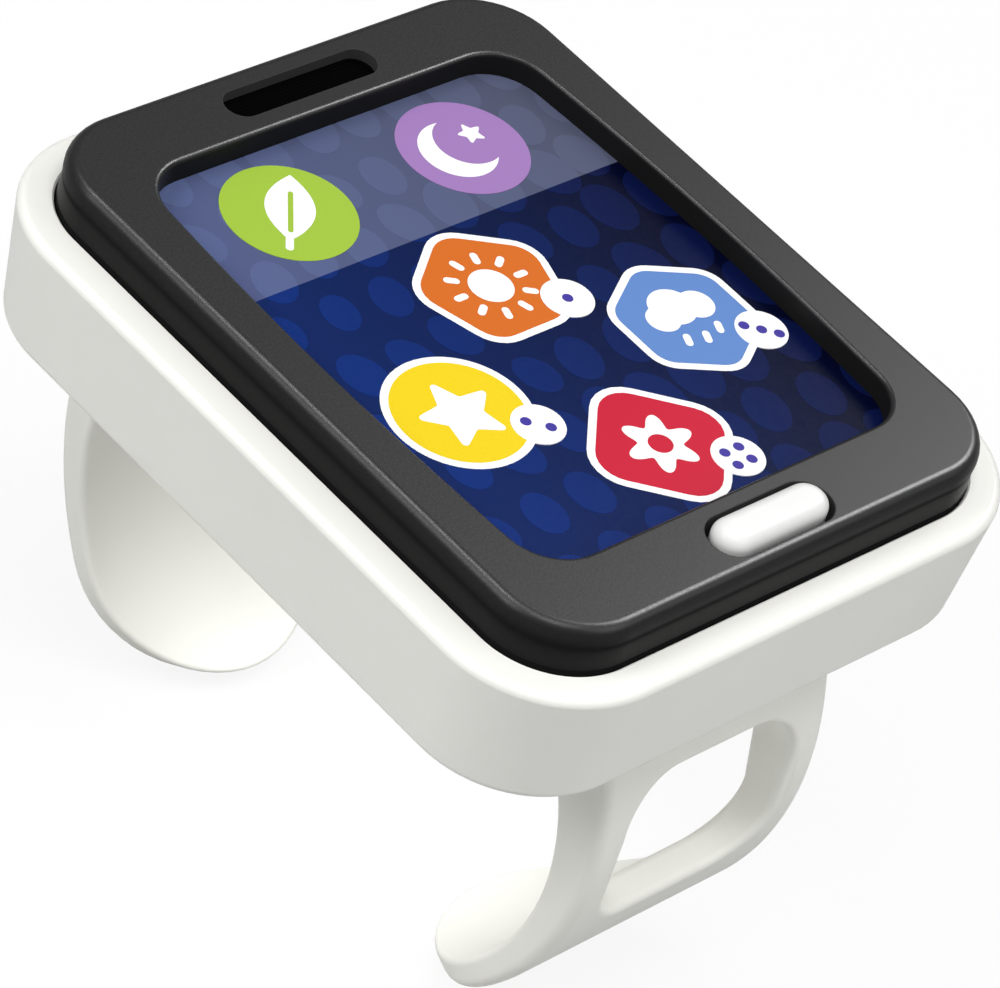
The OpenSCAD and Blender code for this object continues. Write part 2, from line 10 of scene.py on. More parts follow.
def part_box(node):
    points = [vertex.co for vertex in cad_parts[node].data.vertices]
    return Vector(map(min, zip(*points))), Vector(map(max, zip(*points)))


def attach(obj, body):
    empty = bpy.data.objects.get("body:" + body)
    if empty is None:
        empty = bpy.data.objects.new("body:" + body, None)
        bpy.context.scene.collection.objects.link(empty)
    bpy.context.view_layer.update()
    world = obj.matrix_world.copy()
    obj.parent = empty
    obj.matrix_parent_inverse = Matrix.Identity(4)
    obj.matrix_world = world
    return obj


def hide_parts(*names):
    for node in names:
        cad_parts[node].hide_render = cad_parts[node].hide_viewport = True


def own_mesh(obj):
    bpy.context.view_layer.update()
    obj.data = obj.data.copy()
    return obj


mm = 0.001
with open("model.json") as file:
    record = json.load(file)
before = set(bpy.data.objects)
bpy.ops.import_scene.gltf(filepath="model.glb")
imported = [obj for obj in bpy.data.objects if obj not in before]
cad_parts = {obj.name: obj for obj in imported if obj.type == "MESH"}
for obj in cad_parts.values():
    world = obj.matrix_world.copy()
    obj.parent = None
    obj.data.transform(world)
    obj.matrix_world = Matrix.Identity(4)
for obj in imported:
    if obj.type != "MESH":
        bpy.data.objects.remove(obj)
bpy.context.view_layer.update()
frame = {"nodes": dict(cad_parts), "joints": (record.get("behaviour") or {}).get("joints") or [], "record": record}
cadNodes = frame["nodes"]
scene = bpy.context.scene
print("frame loaded:", len(cadNodes), "nodes")


def nodeBox(node):
    low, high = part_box(node)
    return low / mm, high / mm


# levels that the pieces share, from the frame
underZ = nodeBox("lower_case")[0].z
rimZ = nodeBox("lower_case")[1].z
skirtZ = nodeBox("bezel")[0].z
topZ = nodeBox("bezel")[1].z
labelTop = nodeBox("screen_label")[1].z
clothTop = nodeBox("speaker_cloth")[1].z
wristZ = next(m["pos_m"][2] for m in frame["record"]["mounts"] if m["name"] == "wrist_seat") / mm


# camera at the photograph's viewing angle, on a 1000 pixel wide image
view = dict(azimuth=-54.507, elevation=40.526, roll=18.91, target=(-16.163, -15.02), distance=362.188,
            focalPixels=5313.94, imageWidth=1000, sensor=36.0, nearest=0.01, farthest=20.0)


def aimCamera():
    cam = bpy.data.objects.new("camera", bpy.data.cameras.new("camera"))
    scene.collection.objects.link(cam)
    scene.camera = cam
    a = math.radians(view["azimuth"])
    e = math.radians(view["elevation"])
    back = Vector((math.sin(a) * math.cos(e), -math.cos(a) * math.cos(e), math.sin(e)))
    target = Vector((*view["target"], topZ))
    cam.location = (target + back * view["distance"]) * mm
    cam.rotation_mode = "QUATERNION"
    level = (-back).to_track_quat("-Z", "Y")
    cam.rotation_quaternion = level @ Quaternion((0, 0, 1), math.radians(view["roll"]))
    cam.data.sensor_width = view["sensor"]
    cam.data.lens = view["focalPixels"] / view["imageWidth"] * view["sensor"]
    cam.data.clip_start = view["nearest"]
    cam.data.clip_end = view["farthest"]


aimCamera()


# outlines: lists of (x, y, outward x, outward y), anticlockwise round the material

def arc(cx, cy, r, a0, a1, n):
    points = []
    for i in range(n + 1):
        a = math.radians(a0 + (a1 - a0) * i / n)
        points.append((cx + r * math.cos(a), cy + r * math.sin(a), math.cos(a), math.sin(a)))
    return points


def circle(r, n=48, cx=0, cy=0):
    return arc(cx, cy, r, 0, 360, n)[:-1]


def roundedRect(w, l, r, n=12, cx=0, cy=0):
    x = w / 2 - r
    y = l / 2 - r
    corners = ((x, -y, -90), (x, y, 0), (-x, y, 90), (-x, -y, 180))
    return [p for px, py, a in corners for p in arc(cx + px, cy + py, r, a, a + 90, n)]


def barOutline(length, width, n=20, cy=0):
    r = width / 2
    x = length / 2 - r
    return arc(x, cy, r, -90, 90, n) + arc(-x, cy, r, 90, 270, n)


def bowedRect(w, l, r, bow, n=10, sideSteps=24):
    cornerY = l / 2 - r
    bowR = ((l / 2) ** 2 + bow ** 2) / (2 * bow)
    reach = math.degrees(math.asin(cornerY / bowR))
    cornerX = w / 2 - bowR + math.sqrt(bowR ** 2 - cornerY ** 2) - r
    right = arc(w / 2 - bowR, 0, bowR, -reach, reach, sideSteps)
    half = arc(cornerX, -cornerY, r, -90, -reach, n) + right[1:-1] + arc(cornerX, cornerY, r, reach, 90, n)
    return half + [(-x, -y, -nx, -ny) for x, y, nx, ny in half]


def roundedPolygon(corners, r, n=6):
    points = []
    for i, corner in enumerate(corners):
        p = Vector(corner)
        d1 = (p - Vector(corners[i - 1])).normalized()
        d2 = (Vector(corners[(i + 1) % len(corners)]) - p).normalized()
        n1 = Vector((d1.y, -d1.x))
        turn = math.atan2(d1.x * d2.y - d1.y * d2.x, d1.dot(d2))
        side = r if turn > 0 else -r
        centre = p - d1 * abs(r * math.tan(turn / 2)) - n1 * side
        start = math.atan2(n1.y, n1.x)
        for k in range(n + 1):
            a = start + turn * k / n
            nx, ny = math.cos(a), math.sin(a)
            points.append((centre.x + side * nx, centre.y + side * ny, nx, ny))
    return points


def regularPolygon(sides, r, start=90):
    return [(x, y) for x, y, nx, ny in arc(0, 0, r, start, start + 360, sides)[:-1]]


def shifted(outline, dx, dy, turn=0):
    c = math.cos(math.radians(turn))
    s = math.sin(math.radians(turn))
    return [(dx + c * x - s * y, dy + s * x + c * y, c * nx - s * ny, s * nx + c * ny)
            for x, y, nx, ny in outline]


def traced(points):  # outline through plain points; each one's outward side follows from its neighbours
    outline = []
    for i, (x, y) in enumerate(points):
        x0, y0 = points[i - 1]
        x1, y1 = points[(i + 1) % len(points)]
        length = math.hypot(x1 - x0, y1 - y0)
        outline.append((x, y, (y1 - y0) / length, (x0 - x1) / length))
    return outline


def opening(outline):  # the same outline, as the edge of a hole
    return [(x, y, -nx, -ny) for x, y, nx, ny in reversed(outline)]


def roundEdge(out, rise, z, a0, a1, n):  # part of a side, from one slope to another; upright at height z
    turns = [math.radians(a0 + (a1 - a0) * i / n) for i in range(n + 1)]
    return [(out * (math.cos(a) - 1), z + rise * math.sin(a)) for a in turns]


def edges(z0, z1, low=0.0, high=0.0, n=8):  # side of a plate, with its lower and upper edge rounded
    bottom = roundEdge(low, low, z0 + low, -90, 0, n) if low else [(0, z0)]
    top = roundEdge(high, high, z1 - high, 0, 90, n) if high else [(0, z1)]
    return bottom + top


# a moulded solid: each loop is an outline, the side that it follows from the first face to the last,
# and the number of the side's own material where it has one; a level may have an outline of its own
flatStrip = 0.03  # narrow level strip beside a rounded edge, which keeps the face beyond it evenly lit
clearShare = 0.5  # points inside a face stay this share of a step away from its edge
mergeGap = 1e-6
creaseAngle = 40


def flatPlace(x, y, z):
    return Vector((x * mm, y * mm, z * mm))


def inside(x, y, loops):
    odd = False
    for loop in loops:
        for (x0, y0), (x1, y1) in zip(loop, loop[1:] + loop[:1]):
            if (y0 > y) != (y1 > y) and x < x0 + (y - y0) * (x1 - x0) / (y1 - y0):
                odd = not odd
    return odd


def addFace(bm, rings, z, place, flip, step, index):
    plans = [[(x, y) for x, y, v in ring] for ring in rings]
    points = [Vector(p) for plan in plans for p in plan]
    verts = [v for ring in rings for x, y, v in ring]
    links = []
    for plan in plans:
        first = len(links)
        links += [(first + i, first + (i + 1) % len(plan)) for i in range(len(plan))]
    if step:  # points inside the face, so that it can follow a curve
        xs = [p.x for p in points]
        ys = [p.y for p in points]
        edgePoints = list(points)
        for i in range(1, int((max(xs) - min(xs)) / step)):
            for j in range(1, int((max(ys) - min(ys)) / step)):
                p = Vector((min(xs) + i * step, min(ys) + j * step))
                if inside(p.x, p.y, plans) and min((p - q).length for q in edgePoints) > clearShare * step:
                    points.append(p)
                    verts.append(bm.verts.new(place(p.x, p.y, z)))
    flatVerts, _, faces, fromVerts, _, _ = delaunay_2d_cdt(points, links, [], 0, mergeGap)
    for face in faces:
        corners = [flatVerts[i] for i in face]
        if inside(sum(c.x for c in corners) / 3, sum(c.y for c in corners) / 3, plans):
            loop = [verts[fromVerts[i][0]] for i in face]
            bm.faces.new(loop[::-1] if flip else loop).material_index = index


def addMoulding(bm, loops, place=flatPlace, step=None, index=0):
    first = []
    last = []
    for outline, side, *own in loops:
        sideIndex = own[0] if own else index
        rings = []
        for offset, z, *cut in side:
            base = cut[0] if cut else outline
            plan = [(x + nx * offset, y + ny * offset) for x, y, nx, ny in base]
            rings.append([(x, y, bm.verts.new(place(x, y, z))) for x, y in plan])
        for low, high in zip(rings, rings[1:]):
            for i in range(len(low)):
                j = (i + 1) % len(low)
                quad = (low[i][2], low[j][2], high[j][2], high[i][2])
                bm.faces.new(quad).material_index = sideIndex
        first.append(rings[0])
        last.append(rings[-1])
    addFace(bm, first, loops[0][1][0][1], place, True, step, index)
    addFace(bm, last, loops[0][1][-1][1], place, False, step, index)


def finishPiece(name, bm, materials, body, slot, *stoodFor, weighted=True):
    mesh = bpy.data.meshes.new(name)
    bm.to_mesh(mesh)
    bm.free()
    for material in materials:
        mesh.materials.append(material)
    mesh.shade_smooth()
    mesh.set_sharp_from_angle(angle=math.radians(creaseAngle))
    piece = bpy.data.objects.new(name, mesh)
    scene.collection.objects.link(piece)
    if weighted:
        normals = piece.modifiers.new("even normals", "WEIGHTED_NORMAL")
        normals.keep_sharp = True
        normals.weight = 100
    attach(piece, body)
    if stoodFor:
        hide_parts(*stoodFor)
    return piece


# materials, all on Object coordinates
noiseLow = 0.3  # noise mostly lies between these two
noiseHigh = 0.7


def srgb(r, g, b):
    def linear(c):
        c = c / 255
        return c / 12.92 if c <= 0.04045 else ((c + 0.055) / 1.055) ** 2.4
    return (linear(r), linear(g), linear(b), 1.0)


class Surface:
    def __init__(self, name):
        self.material = bpy.data.materials.new(name)
        self.material.use_nodes = True
        self.tree = self.material.node_tree
        self.shader = self.tree.nodes["Principled BSDF"]
        self.coords = self.add("ShaderNodeTexCoord").outputs["Object"]

    def add(self, kind, **settings):
        node = self.tree.nodes.new(kind)
        for key, value in settings.items():
            setattr(node, key, value)
        return node

    def link(self, source, target):
        self.tree.links.new(source, target)

    def noise(self, scale, detail=2.0, roughness=0.5):
        node = self.add("ShaderNodeTexNoise")
        node.inputs["Scale"].default_value = scale
        node.inputs["Detail"].default_value = detail
        node.inputs["Roughness"].default_value = roughness
        self.link(self.coords, node.inputs["Vector"])
        return node.outputs["Fac"]

    def ramp(self, source, start, end):  # start and end are each a place and its colour
        node = self.add("ShaderNodeValToRGB")
        first, last = node.color_ramp.elements
        first.position, first.color = start
        last.position, last.color = end
        self.link(source, node.inputs["Fac"])
        return node.outputs["Color"]

    def span(self, source, low, high, fromLow=noiseLow, fromHigh=noiseHigh):
        node = self.add("ShaderNodeMapRange")
        for key, value in (("From Min", fromLow), ("From Max", fromHigh), ("To Min", low), ("To Max", high)):
            node.inputs[key].default_value = value
        self.link(source, node.inputs["Value"])
        return node.outputs["Result"]

    def bump(self, height, distance):
        node = self.add("ShaderNodeBump")
        node.inputs["Distance"].default_value = distance
        self.link(height, node.inputs["Height"])
        self.link(node.outputs["Normal"], self.shader.inputs["Normal"])

    def set(self, **values):
        names = dict(roughness="Roughness", metal="Metallic", specular="Specular IOR Level")
        for key, value in values.items():
            self.shader.inputs[names[key]].default_value = value


def shade(colour, share):
    return (*[min(1.0, c * share) for c in colour[:3]], 1.0)


plastic = dict(patchScale=45, patchDark=0.97, patchPale=1.02, roughSpread=0.04, dullAt=-0.1, glossyAt=0.7)


def mouldedPlastic(name, colour, roughness, specular, grain=0.004, grainSize=0.25, sideGloss=None):
    p = plastic
    s = Surface(name)
    dark = (noiseLow, shade(colour, p["patchDark"]))
    pale = (noiseHigh, shade(colour, p["patchPale"]))
    s.link(s.ramp(s.noise(p["patchScale"], 3), dark, pale), s.shader.inputs["Base Color"])
    fine = s.noise(1 / (grainSize * mm), 3, 0.6)
    spread = p["roughSpread"]
    s.link(s.span(fine, roughness - spread, roughness + spread), s.shader.inputs["Roughness"])
    s.set(specular=specular)
    if sideGloss is not None:  # upright faces duller than the ones that face up
        facing = s.add("ShaderNodeSeparateXYZ")
        s.link(s.add("ShaderNodeNewGeometry").outputs["Normal"], facing.inputs[0])
        gloss = s.span(facing.outputs["Z"], sideGloss, specular, p["dullAt"], p["glossyAt"])
        s.link(gloss, s.shader.inputs["Specular IOR Level"])
    s.bump(fine, grain * mm)
    return s.material


metal = dict(grain=0.4, lineDark=0.85, roughSpread=0.15, depth=0.002)


def platedMetal(name, colour, roughness):
    m = metal
    s = Surface(name)
    lines = s.noise(1 / (m["grain"] * mm), 4, 0.7)
    dark = (noiseLow, shade(colour, m["lineDark"]))
    s.link(s.ramp(lines, dark, (noiseHigh, colour)), s.shader.inputs["Base Color"])
    s.link(s.span(lines, roughness, roughness + m["roughSpread"]), s.shader.inputs["Roughness"])
    s.set(metal=1.0)
    s.bump(lines, m["depth"] * mm)
    return s.material


weave = dict(pitch=0.35, waveLength=0.31, gapShade=0.3, threadAt=0.8, roughness=0.95, specular=0.01,
             depth=0.06)


def wovenCloth(name, colour):
    w = weave
    s = Surface(name)
    waves = []
    for direction in ("X", "Y"):
        wave = s.add("ShaderNodeTexWave", bands_direction=direction)
        wave.inputs["Scale"].default_value = w["waveLength"] / (w["pitch"] * mm)
        s.link(s.coords, wave.inputs["Vector"])
        waves.append(wave.outputs["Fac"])
    both = s.add("ShaderNodeMath", operation="MULTIPLY")
    for wave, socket in zip(waves, both.inputs):
        s.link(wave, socket)
    gap = (0.0, shade(colour, w["gapShade"]))
    s.link(s.ramp(both.outputs[0], gap, (w["threadAt"], colour)), s.shader.inputs["Base Color"])
    s.set(roughness=w["roughness"], specular=w["specular"])
    s.bump(both.outputs[0], w["depth"] * mm)
    return s.material


ink = dict(dot=0.12, dark=0.96, darkAt=0.35, fullAt=0.65, smoothest=0.3, roughest=0.38, specular=0.08)


def printedInk(name, colour):
    s = Surface(name)
    dots = s.noise(1 / (ink["dot"] * mm), 2)
    dark = (ink["darkAt"], shade(colour, ink["dark"]))
    s.link(s.ramp(dots, dark, (ink["fullAt"], colour)), s.shader.inputs["Base Color"])
    s.link(s.span(dots, ink["smoothest"], ink["roughest"]), s.shader.inputs["Roughness"])
    s.set(specular=ink["specular"])
    return s.material


ground = dict(halfWidth=19, bandY=9.6, bandEdge=0.02, grain=0.3, smoothest=0.28, roughest=0.34, specular=0.05,
              depth=0.001)


def screenInk(name, left, right, bandLeft, bandRight):  # blends from left to right, paler on the band
    g = ground
    s = Surface(name)
    place = s.add("ShaderNodeSeparateXYZ")
    s.link(s.coords, place.inputs[0])
    across = s.span(place.outputs["X"], 0, 1, -g["halfWidth"] * mm, g["halfWidth"] * mm)
    bandFrom = (g["bandY"] - g["bandEdge"]) * mm
    bandTo = (g["bandY"] + g["bandEdge"]) * mm
    mix = s.add("ShaderNodeMix", data_type="RGBA")
    s.link(s.span(place.outputs["Y"], 0, 1, bandFrom, bandTo), mix.inputs[0])
    s.link(s.ramp(across, (0, left), (1, right)), mix.inputs[6])
    s.link(s.ramp(across, (0, bandLeft), (1, bandRight)), mix.inputs[7])
    s.link(mix.outputs[2], s.shader.inputs["Base Color"])
    film = s.noise(1 / (g["grain"] * mm), 2)
    s.link(s.span(film, g["smoothest"], g["roughest"]), s.shader.inputs["Roughness"])
    s.set(specular=g["specular"])
    s.bump(film, g["depth"] * mm)
    return s.material


inkLevel = 0.88
inkColours = dict(orange=(217, 111, 35), yellow=(244, 213, 25), red=(205, 30, 58), sky=(100, 140, 205),
                  green=(164, 199, 67), purple=(164, 126, 189), indigo=(70, 60, 160))
inks = dict(white=printedInk("ink white", (0.92, 0.92, 0.92, 1)))
for key, colour in inkColours.items():
    inks[key] = printedInk("ink " + key, shade(srgb(*colour), inkLevel))
finish = dict(
    caseWhite=mouldedPlastic("case white", (0.86, 0.858, 0.815, 1), 0.42, 0.3),
    cuffWhite=mouldedPlastic("cuff white", (0.86, 0.858, 0.81, 1), 0.45, 0.3),
    bezelGrey=mouldedPlastic("bezel charcoal", (0.012, 0.012, 0.0123, 1), 0.36, 0.29, 0.003, 0.2,
                             sideGloss=0.0),
    # walls of the speaker slot and the button hole: a paler grey than the bezel's charcoal, painted light that
    # stands in for light in these shaded recesses
    slotWallPaintedLight=mouldedPlastic("slot wall grey painted light", (0.04, 0.04, 0.04, 1), 0.7, 0.1),
    # button: white plastic made darker than the case's white, painted shade that stands in for the shade on its
    # sides
    buttonWhitePaintedShade=mouldedPlastic("button white with painted shade", (0.74, 0.74, 0.73, 1), 0.4, 0.3),
    panelWhite=mouldedPlastic("panel white", (0.7, 0.7, 0.69, 1), 0.5, 0.4),
    speakerBlack=mouldedPlastic("speaker frame grey", (0.06, 0.06, 0.065, 1), 0.5, 0.4),
    coneFilm=mouldedPlastic("cone film", (0.02, 0.02, 0.022, 1), 0.25, 0.5),
    foamBlack=mouldedPlastic("foam black", (0.015, 0.015, 0.015, 1), 0.9, 0.2, 0.06, 0.3),
    siliconeGrey=mouldedPlastic("silicone grey", (0.5, 0.5, 0.48, 1), 0.55, 0.3),
    leadRed=mouldedPlastic("lead red", (0.5, 0.02, 0.02, 1), 0.4, 0.4),
    boardGreen=mouldedPlastic("board green", (0.015, 0.13, 0.05, 1), 0.4, 0.5),
    chipBlack=mouldedPlastic("chip cover black", (0.008, 0.008, 0.008, 1), 0.3, 0.5),
    plated=platedMetal("plated steel", (0.62, 0.62, 0.63, 1), 0.25),
    contact=platedMetal("contact brass", (0.62, 0.45, 0.16, 1), 0.25),
    # speaker cloth: black cloth whose colour is pushed to near nothing, painted shade for the inside of the slot
    cloth=wovenCloth("speaker cloth black with painted shade", (0.0016, 0.0016, 0.0016, 1)),
    ground=screenInk("screen ground", srgb(13, 36, 92), srgb(2, 4, 28),
                     srgb(78, 88, 128), srgb(76, 80, 100)),
    spots=screenInk("screen spots", srgb(14, 45, 116), srgb(7, 15, 54),
                    srgb(84, 96, 138), srgb(82, 87, 110)),
)

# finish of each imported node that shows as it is
nodeFinish = dict(
    screen_label="ground", screen_panel="panelWhite", speaker_cloth="cloth", speaker_frame="speakerBlack",
    speaker_magnet="plated", speaker_cone="coneFilm", speaker_gasket="foamBlack", speaker_leads="leadRed",
    circuit_board="boardGreen", chip_cover="chipBlack", battery_cells="plated", cell_springs="contact",
    door_strip="contact", battery_door="caseWhite")
for node, key in nodeFinish.items():
    for materialSlot in cadNodes[node].material_slots:
        materialSlot.material = finish[key]
print("materials:", len(finish) + len(inks))


# white case: drafted wall, flat rim and cavity, with every opening through its floor and the posts on it
case = dict(width=52.0, length=63.6, corner=10.0, draft=0.8, rimEdge=0.7, baseEdge=0.9, baseTurn=85,
            edgeSteps=10, floor=2.0, steps=20, cavityWidth=46.2, cavityLength=58.4, cavityCorner=6.9,
            innerEdge=0.15, slotGap=0.2, slotCorner=1.0, doorGap=0.2, doorCorner=1.7, doorTab=1.8,
            screwX=19.4, screwY=25.5, postRadius=2.5, postSink=0.3, bore=2.0, hole=1.2, boreDepth=1.4,
            caseBore=2.4, boardPost=2.15, boardPilot=0.85, wellWall=1.2, wellPlay=0.4, wellTop=5.9,
            wellCorner=0.8, wellInner=0.5)

# cuff arm: its inner and outer faces are arcs about two centres, so that it tapers to its round tip
arm = dict(reach=26.35, thick=3.7, bend=20.0, back=28.05, bendDrop=2.6, backLift=0.9, width=23.0,
           rootThick=7.4, rootCorner=1.5, edge=1.0, innerEdge=0.5, rise=1.0, flare=0.8, flareRun=2.6,
           flareIn=1.5, tipAngle=121.5, tipSteps=30, sideSteps=60, squareFrom=104.0, squareRun=16.0,
           eyeWidth=17.0, eyeHeight=14.3, eyeLift=1.3, eyeCorner=4.5, eyeEdge=0.8, eyeRoll=0.7,
           meshStep=1.0, footThick=1.8, footLap=1.2, footWider=0.4, footCorner=0.5, footX=14.4,
           bossRadius=2.15, bossMargin=0.4, bossHeight=4.0, bossSink=0.1)
bendY = arm["reach"] - arm["bend"]
backY = arm["reach"] + arm["thick"] - arm["back"]
armMid = arm["reach"] + arm["thick"] / 2
armDepth = 2 * arm["edge"] + arm["rise"]
floorZ = underZ + case["floor"]


def backReach(z, gap=0.0):  # how far the outer face reaches along Y at a height
    return backY + math.sqrt((arm["back"] + gap) ** 2 - (z - wristZ - arm["backLift"]) ** 2)


rootY = backReach(underZ) - arm["rootThick"]
footY = backReach(underZ) - arm["rootThick"] / 2


def caseSide(cavity):  # from the underside up the wall, over the rim and down to the cavity's floor
    c = case
    n = c["edgeSteps"]
    base, rim, inner = c["baseEdge"], c["rimEdge"], c["innerEdge"]
    side = [(-c["draft"] - base - flatStrip, underZ)]
    for offset, z in roundEdge(base, base, underZ + base, -90, c["baseTurn"] - 90, n):
        side.append((offset - c["draft"], z))
    side += roundEdge(rim, rim, rimZ - rim, 0, 90, n)
    return side + [(inner, rimZ, cavity), (0, rimZ - inner, cavity), (0, floorZ, cavity)]


def armSlot(way):  # slanted slot that one arm passes through; way is 1 for the rear arm, -1 for the front one
    levels = []
    for z in (underZ, floorZ):
        y0 = rootY - case["slotGap"]
        y1 = backReach(z, case["slotGap"])
        width = arm["width"] + 2 * case["slotGap"]
        plan = roundedRect(width, y1 - y0, case["slotCorner"], 5, cy=way * (y0 + y1) / 2)
        levels.append((0, z, opening(plan)))
    return levels[0][2], levels


def addTube(bm, outer, inner, z0, z1):
    addMoulding(bm, [(outer, [(0, z0), (0, z1)]), (opening(inner), [(0, z0), (0, z1)])])


def makeCase():
    c = case
    bm = bmesh.new()
    outer = roundedRect(c["width"], c["length"], c["corner"], c["steps"])
    cavity = roundedRect(c["cavityWidth"], c["cavityLength"], c["cavityCorner"], c["steps"])
    low, high = nodeBox("battery_door")
    x0 = low.x + c["doorTab"] - c["doorGap"]
    x1 = high.x + c["doorGap"]
    doorY = (low.y + high.y) / 2
    door = roundedRect(x1 - x0, high.y - low.y + 2 * c["doorGap"], c["doorCorner"], 6, (x0 + x1) / 2, doorY)
    postZ = floorZ - c["postSink"]
    step = c["bore"] - c["hole"]
    cuffSeat = underZ + c["boreDepth"]
    caseSeat = underZ + c["caseBore"]
    cuffBore = [(0, underZ), (0, cuffSeat), (step, cuffSeat), (step, floorZ)]
    caseBore = [(0, postZ), (0, caseSeat), (step, caseSeat), (step, skirtZ)]
    corners = [(sx, sy) for sx in (-1, 1) for sy in (-1, 1)]
    loops = [(outer, caseSide(cavity)), armSlot(1), armSlot(-1), (opening(door), [(0, underZ), (0, floorZ)])]
    for sx, sy in corners:
        screwHole = opening(circle(c["bore"], 32, sx * c["screwX"], sy * c["screwY"]))
        loops.append((screwHole, [(0, underZ), (0, floorZ)]))
        loops.append((opening(circle(c["bore"], 32, sx * arm["footX"], sy * footY)), cuffBore))
    addMoulding(bm, loops)
    for sx, sy in corners:
        x, y = sx * c["screwX"], sy * c["screwY"]
        addMoulding(bm, [(circle(c["postRadius"], 32, x, y), [(0, postZ), (0, skirtZ)]),
                         (opening(circle(c["bore"], 32, x, y)), caseBore)])
    boardLow, boardHigh = nodeBox("board_screws")
    inset = (nodeBox("door_screw")[1].y - nodeBox("door_screw")[0].y) / 2
    boardZ = nodeBox("circuit_board")[0].z
    for x in (boardLow.x + inset, boardHigh.x - inset):
        for y in (boardLow.y + inset, boardHigh.y - inset):
            pilot = circle(c["boardPilot"], 24, x, y)
            addTube(bm, circle(c["boardPost"], 24, x, y), pilot, postZ, boardZ)
    cellLow, cellHigh = nodeBox("battery_cells")
    cellY = (cellLow.y + cellHigh.y) / 2
    wellW = cellHigh.x - cellLow.x + 2 * c["wellPlay"]
    wellL = cellHigh.y - cellLow.y + 2 * c["wellPlay"]
    wall = 2 * c["wellWall"]
    addTube(bm, roundedRect(wellW + wall, wellL + wall, c["wellCorner"], 4, cy=cellY),
            roundedRect(wellW, wellL, c["wellInner"], 4, cy=cellY), postZ, underZ + c["wellTop"])
    finishPiece("caseShell", bm, [finish["caseWhite"]], "case", "case_white", "lower_case")


def armPoint(v, depth):  # reach and height above the wrist axis, for a place along the arm and in its wall
    if depth < armDepth / 2:
        y, z, r = bendY, -arm["bendDrop"], arm["bend"] + depth
    else:
        y, z, r = backY, arm["backLift"], arm["back"] - armDepth + depth
    t = v / armMid
    tip = math.radians(arm["tipAngle"])
    share = min(1.0, max(0.0, (math.degrees(t) - arm["squareFrom"]) / arm["squareRun"]))
    angle = 0.0
    if share < 1:  # cuts run level at the root and the window
        angle = math.acos(max(-1.0, min(1.0, (armMid * math.cos(t) - z) / r)))
    if share > 0:  # and square to the arm at its tip
        slide = y * math.cos(tip) - z * math.sin(tip)
        square = tip + math.asin((armMid * math.sin(t - tip) - slide) / r)
        angle += (square - angle) * share * share * (3 - 2 * share)
    reach = y + r * math.sin(angle)
    if depth < armDepth / 2 and math.degrees(t) < 90:
        reach = max(reach, rootY + depth)
    return reach, z + r * math.cos(angle)


def armOutline():
    half = arm["width"] / 2
    root = armMid * math.acos((underZ - wristZ) / armMid)
    start = armMid * math.acos((floorZ + arm["footThick"] / 2 - wristZ) / armMid)
    tip = armMid * math.radians(arm["tipAngle"])

    def flare(v):
        run = arm["flareRun"] if v > root else arm["flareIn"]
        return arm["flare"] * math.exp(-((v - root) / run) ** 2)

    corner = arm["rootCorner"]
    right = [(x, v) for x, v, nx, nv in arc(half - corner, start + corner, corner, -90, 0, 6)]
    count = arm["sideSteps"]
    for i in range(1, count):
        v = start + corner + (tip - start - corner) * i / count
        right.append((half + flare(v), v))
    tipArc = arc(0, 0, half, 0, 180, arm["tipSteps"])
    tipRow = [(x, tip + armMid * math.asin(s / armMid)) for x, s, nx, ns in tipArc]
    return traced(right + tipRow + [(-x, v) for x, v in reversed(right)])


def eyeOutline():
    plan = roundedRect(arm["eyeWidth"], arm["eyeHeight"], arm["eyeCorner"], 10, cy=-arm["eyeLift"])
    return [(x, armMid * math.acos(-y / armMid), nx, ny) for x, y, nx, ny in plan]


def makeArm(name, way, node):
    a = arm
    bm = bmesh.new()

    def bent(x, v, depth):
        reach, height = armPoint(v, depth)
        return flatPlace(way * x, way * reach, wristZ + height)

    rim = (armOutline(), edges(0, armDepth, a["innerEdge"], a["edge"], 7))
    eye = (opening(eyeOutline()), edges(0, armDepth, a["eyeEdge"], a["eyeRoll"], 8))
    addMoulding(bm, [rim, eye], bent, a["meshStep"])
    y = way * footY
    slab = [(0, floorZ), (0, floorZ + a["footThick"])]
    footWidth = a["width"] + a["footWider"]
    foot = roundedRect(footWidth, a["rootThick"] + 2 * a["footLap"], a["footCorner"], 4, cy=y)
    barWidth = 2 * (a["bossRadius"] + a["bossMargin"])
    bar = barOutline(2 * a["footX"] + barWidth, barWidth, cy=y)
    pilots = [circle(case["boardPilot"], 24, sx * a["footX"], y) for sx in (-1, 1)]
    addMoulding(bm, [(foot, slab)])
    addMoulding(bm, [(bar, slab)] + [(opening(pilot), slab) for pilot in pilots])
    for sx, pilot in zip((-1, 1), pilots):
        boss = circle(a["bossRadius"], 24, sx * a["footX"], y)
        addTube(bm, boss, pilot, floorZ + a["bossSink"], floorZ + a["bossHeight"])
    finishPiece(name, bm, [finish["cuffWhite"]], "case", "cuff_white", node)


# charcoal bezel: waisted side, rounded top edge, window, speaker slot and button slot
bezel = dict(width=46.0, length=58.2, corner=6.8, wall=1.0, topEdge=0.93, topDrop=1.2, waist=0.06,
             waistAt=0.45, wallAt=0.1, tuck=0.04, sideSteps=12, windowWidth=38.0, windowLength=44.8,
             windowCorner=4.2, windowBow=0.95, windowEdge=0.35, slotLength=14.4, slotWidth=3.0,
             slotY=25.5, slotEdge=0.0, pocket=0.4, holeLength=11.45, holeWidth=4.2, holeY=-25.9,
             holeEdge=0.06, meshStep=2.0)


